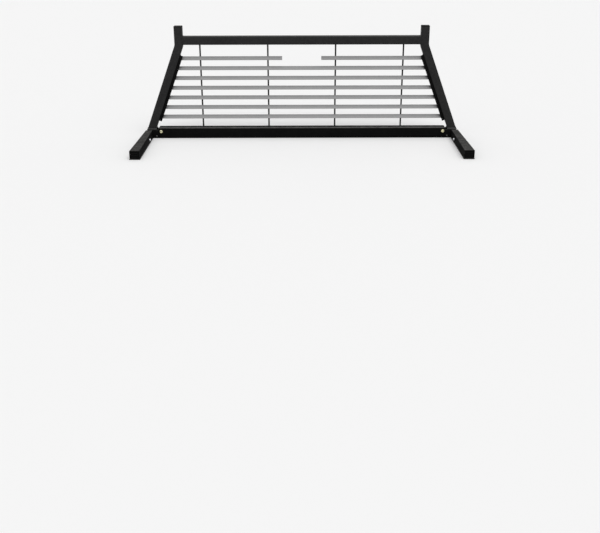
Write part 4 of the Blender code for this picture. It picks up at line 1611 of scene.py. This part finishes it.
@dataclass
class Studio:
    """A plain pale floor, a bright even room and one broad soft light above."""

    floor_size: float = 90.0
    floor_colour: Colour = (0.90, 0.90, 0.90)
    floor_bounce: Colour = (0.36, 0.36, 0.36)
    floor_roughness: float = 0.9
    floor_specular: float = 0.1
    room: float = 0.52
    room_seen: float = 0.94
    key_strength: float = 1.75
    key_angle: float = math.radians(55.0)
    key_from: tuple[float, float, float] = (0.12, -0.42, 0.90)

    def floor(self) -> None:
        """Lay the floor, which throws less light on the rack than it shows."""
        deselect_all()
        bpy.ops.mesh.primitive_plane_add(size=self.floor_size, location=(0.0, 0.0, 0.0))
        floor = bpy.context.object
        floor.name = "studio_floor"
        material = bpy.data.materials.new("studio_floor")
        material.use_nodes = True
        wiring = Wiring(material.node_tree)
        bounced = wiring.node("LightPath").outputs["Is Diffuse Ray"]
        shader = material.node_tree.nodes["Principled BSDF"]
        wiring.feed(shader.inputs["Base Color"],
                    wiring.blend(bounced, (*self.floor_colour, 1.0), (*self.floor_bounce, 1.0)))
        shader.inputs["Roughness"].default_value = self.floor_roughness
        shader.inputs["Specular IOR Level"].default_value = self.floor_specular
        floor.data.materials.append(material)

    def walls(self) -> None:
        """Light the scene evenly, and show a paler room to the camera, metal and glass."""
        world = bpy.data.worlds.new("studio_room")
        bpy.context.scene.world = world
        world.use_nodes = True
        world.node_tree.nodes.clear()
        wiring = Wiring(world.node_tree)
        path = wiring.node("LightPath").outputs
        mirrored = wiring.math("ADD", path["Is Glossy Ray"], path["Is Transmission Ray"])
        lit, seen = [wiring.node("Background", {"Strength": strength, "Color": WHITE})
                     for strength in (self.room, self.room_seen)]
        mix = wiring.node("MixShader", {0: wiring.math("ADD", path["Is Camera Ray"], mirrored),
                                        1: lit.outputs[0], 2: seen.outputs[0]})
        wiring.node("OutputWorld", {"Surface": mix.outputs[0]})

    def key(self) -> None:
        """Hang the broad soft light."""
        lamp = bpy.data.lights.new("key_light", "SUN")
        lamp.energy = self.key_strength
        lamp.angle = self.key_angle
        key = bpy.data.objects.new("key_light", lamp)
        key.matrix_world = turn_to(Vector(self.key_from))
        bpy.context.scene.collection.objects.link(key)

    def build(self) -> None:
        """Set up the floor, the room and the light."""
        self.floor()
        self.walls()
        self.key()


@dataclass
class RackCamera:
    """The camera behind the truck, above the bed, looking down at the rack."""

    back: float = 5.156                 # behind the lower rail's face
    height: float = 1.361
    pitch: float = math.radians(23.26)
    roll: float = math.radians(-0.17)
    yaw: float = math.radians(0.152)
    lens: float = 51.75
    sensor: float = 36.0
    sight: float = 200.0                # how far it sees

    def build(self) -> None:
        """Place the camera and make it the scene's."""
        data = bpy.data.cameras.new("rack_camera")
        data.lens = self.lens
        data.sensor_width = self.sensor
        data.clip_end = self.sight
        camera = bpy.data.objects.new("rack_camera", data)
        face_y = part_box("lower_rail")[0].y
        turn = (Matrix.Rotation(self.yaw, 4, "Z")
                @ Matrix.Rotation(math.pi / 2 - self.pitch, 4, "X")
                @ Matrix.Rotation(self.roll, 4, "Z"))
        camera.matrix_world = Matrix.Translation((0.0, face_y - self.back, self.height)) @ turn
        bpy.context.scene.collection.objects.link(camera)
        bpy.context.scene.camera = camera


# === Whole scene ==============================================================================

def dress_frame() -> None:
    """Give every node of the frame that still shows its finish."""
    slots = {entry["node"]: entry["material_slot"] for entry in frame["record"]["subparts"]}
    for name, node in frame["nodes"].items():
        material = FINISHES[slots[name]].material()
        if not node.material_slots:
            node.data.materials.append(material)
        for slot in node.material_slots:
            slot.material = material
        if not node.hide_render:
            log.info("%-26s kept, %s", name, slots[name])


def main() -> None:
    """Build the rack's pieces, the studio and the camera."""
    RackCamera().build()
    leg = LegLine()
    rail_bolt = HexBolt(stem="rail", flats=0.017, head=0.0064, radius=0.005, washer_radius=0.012,
                        washer_thickness=0.002, axis=Axis.Y, finish=YELLOW_ZINC,
                        washer_finish=SHADED_YELLOW_ZINC, pitch=0.0015)
    foot_bolt = HexBolt(stem="foot", flats=0.013, head=0.0053, radius=0.004, washer_radius=0.008,
                        washer_thickness=0.0016, axis=Axis.X, finish=BRIGHT_ZINC,
                        washer_finish=BRIGHT_ZINC, pitch=0.00125)
    for assembly in (Upright(leg), Rails(), LouverPanel(leg), Corner(), Foot(), rail_bolt,
                     foot_bolt, ButtonScrew(), Welds(leg)):
        log.info("-- %s", type(assembly).__name__)
        assembly.build()
    dress_frame()
    Studio().build()
    bpy.context.scene.view_settings.view_transform = "Standard"


if __name__ == "__main__":
    main()
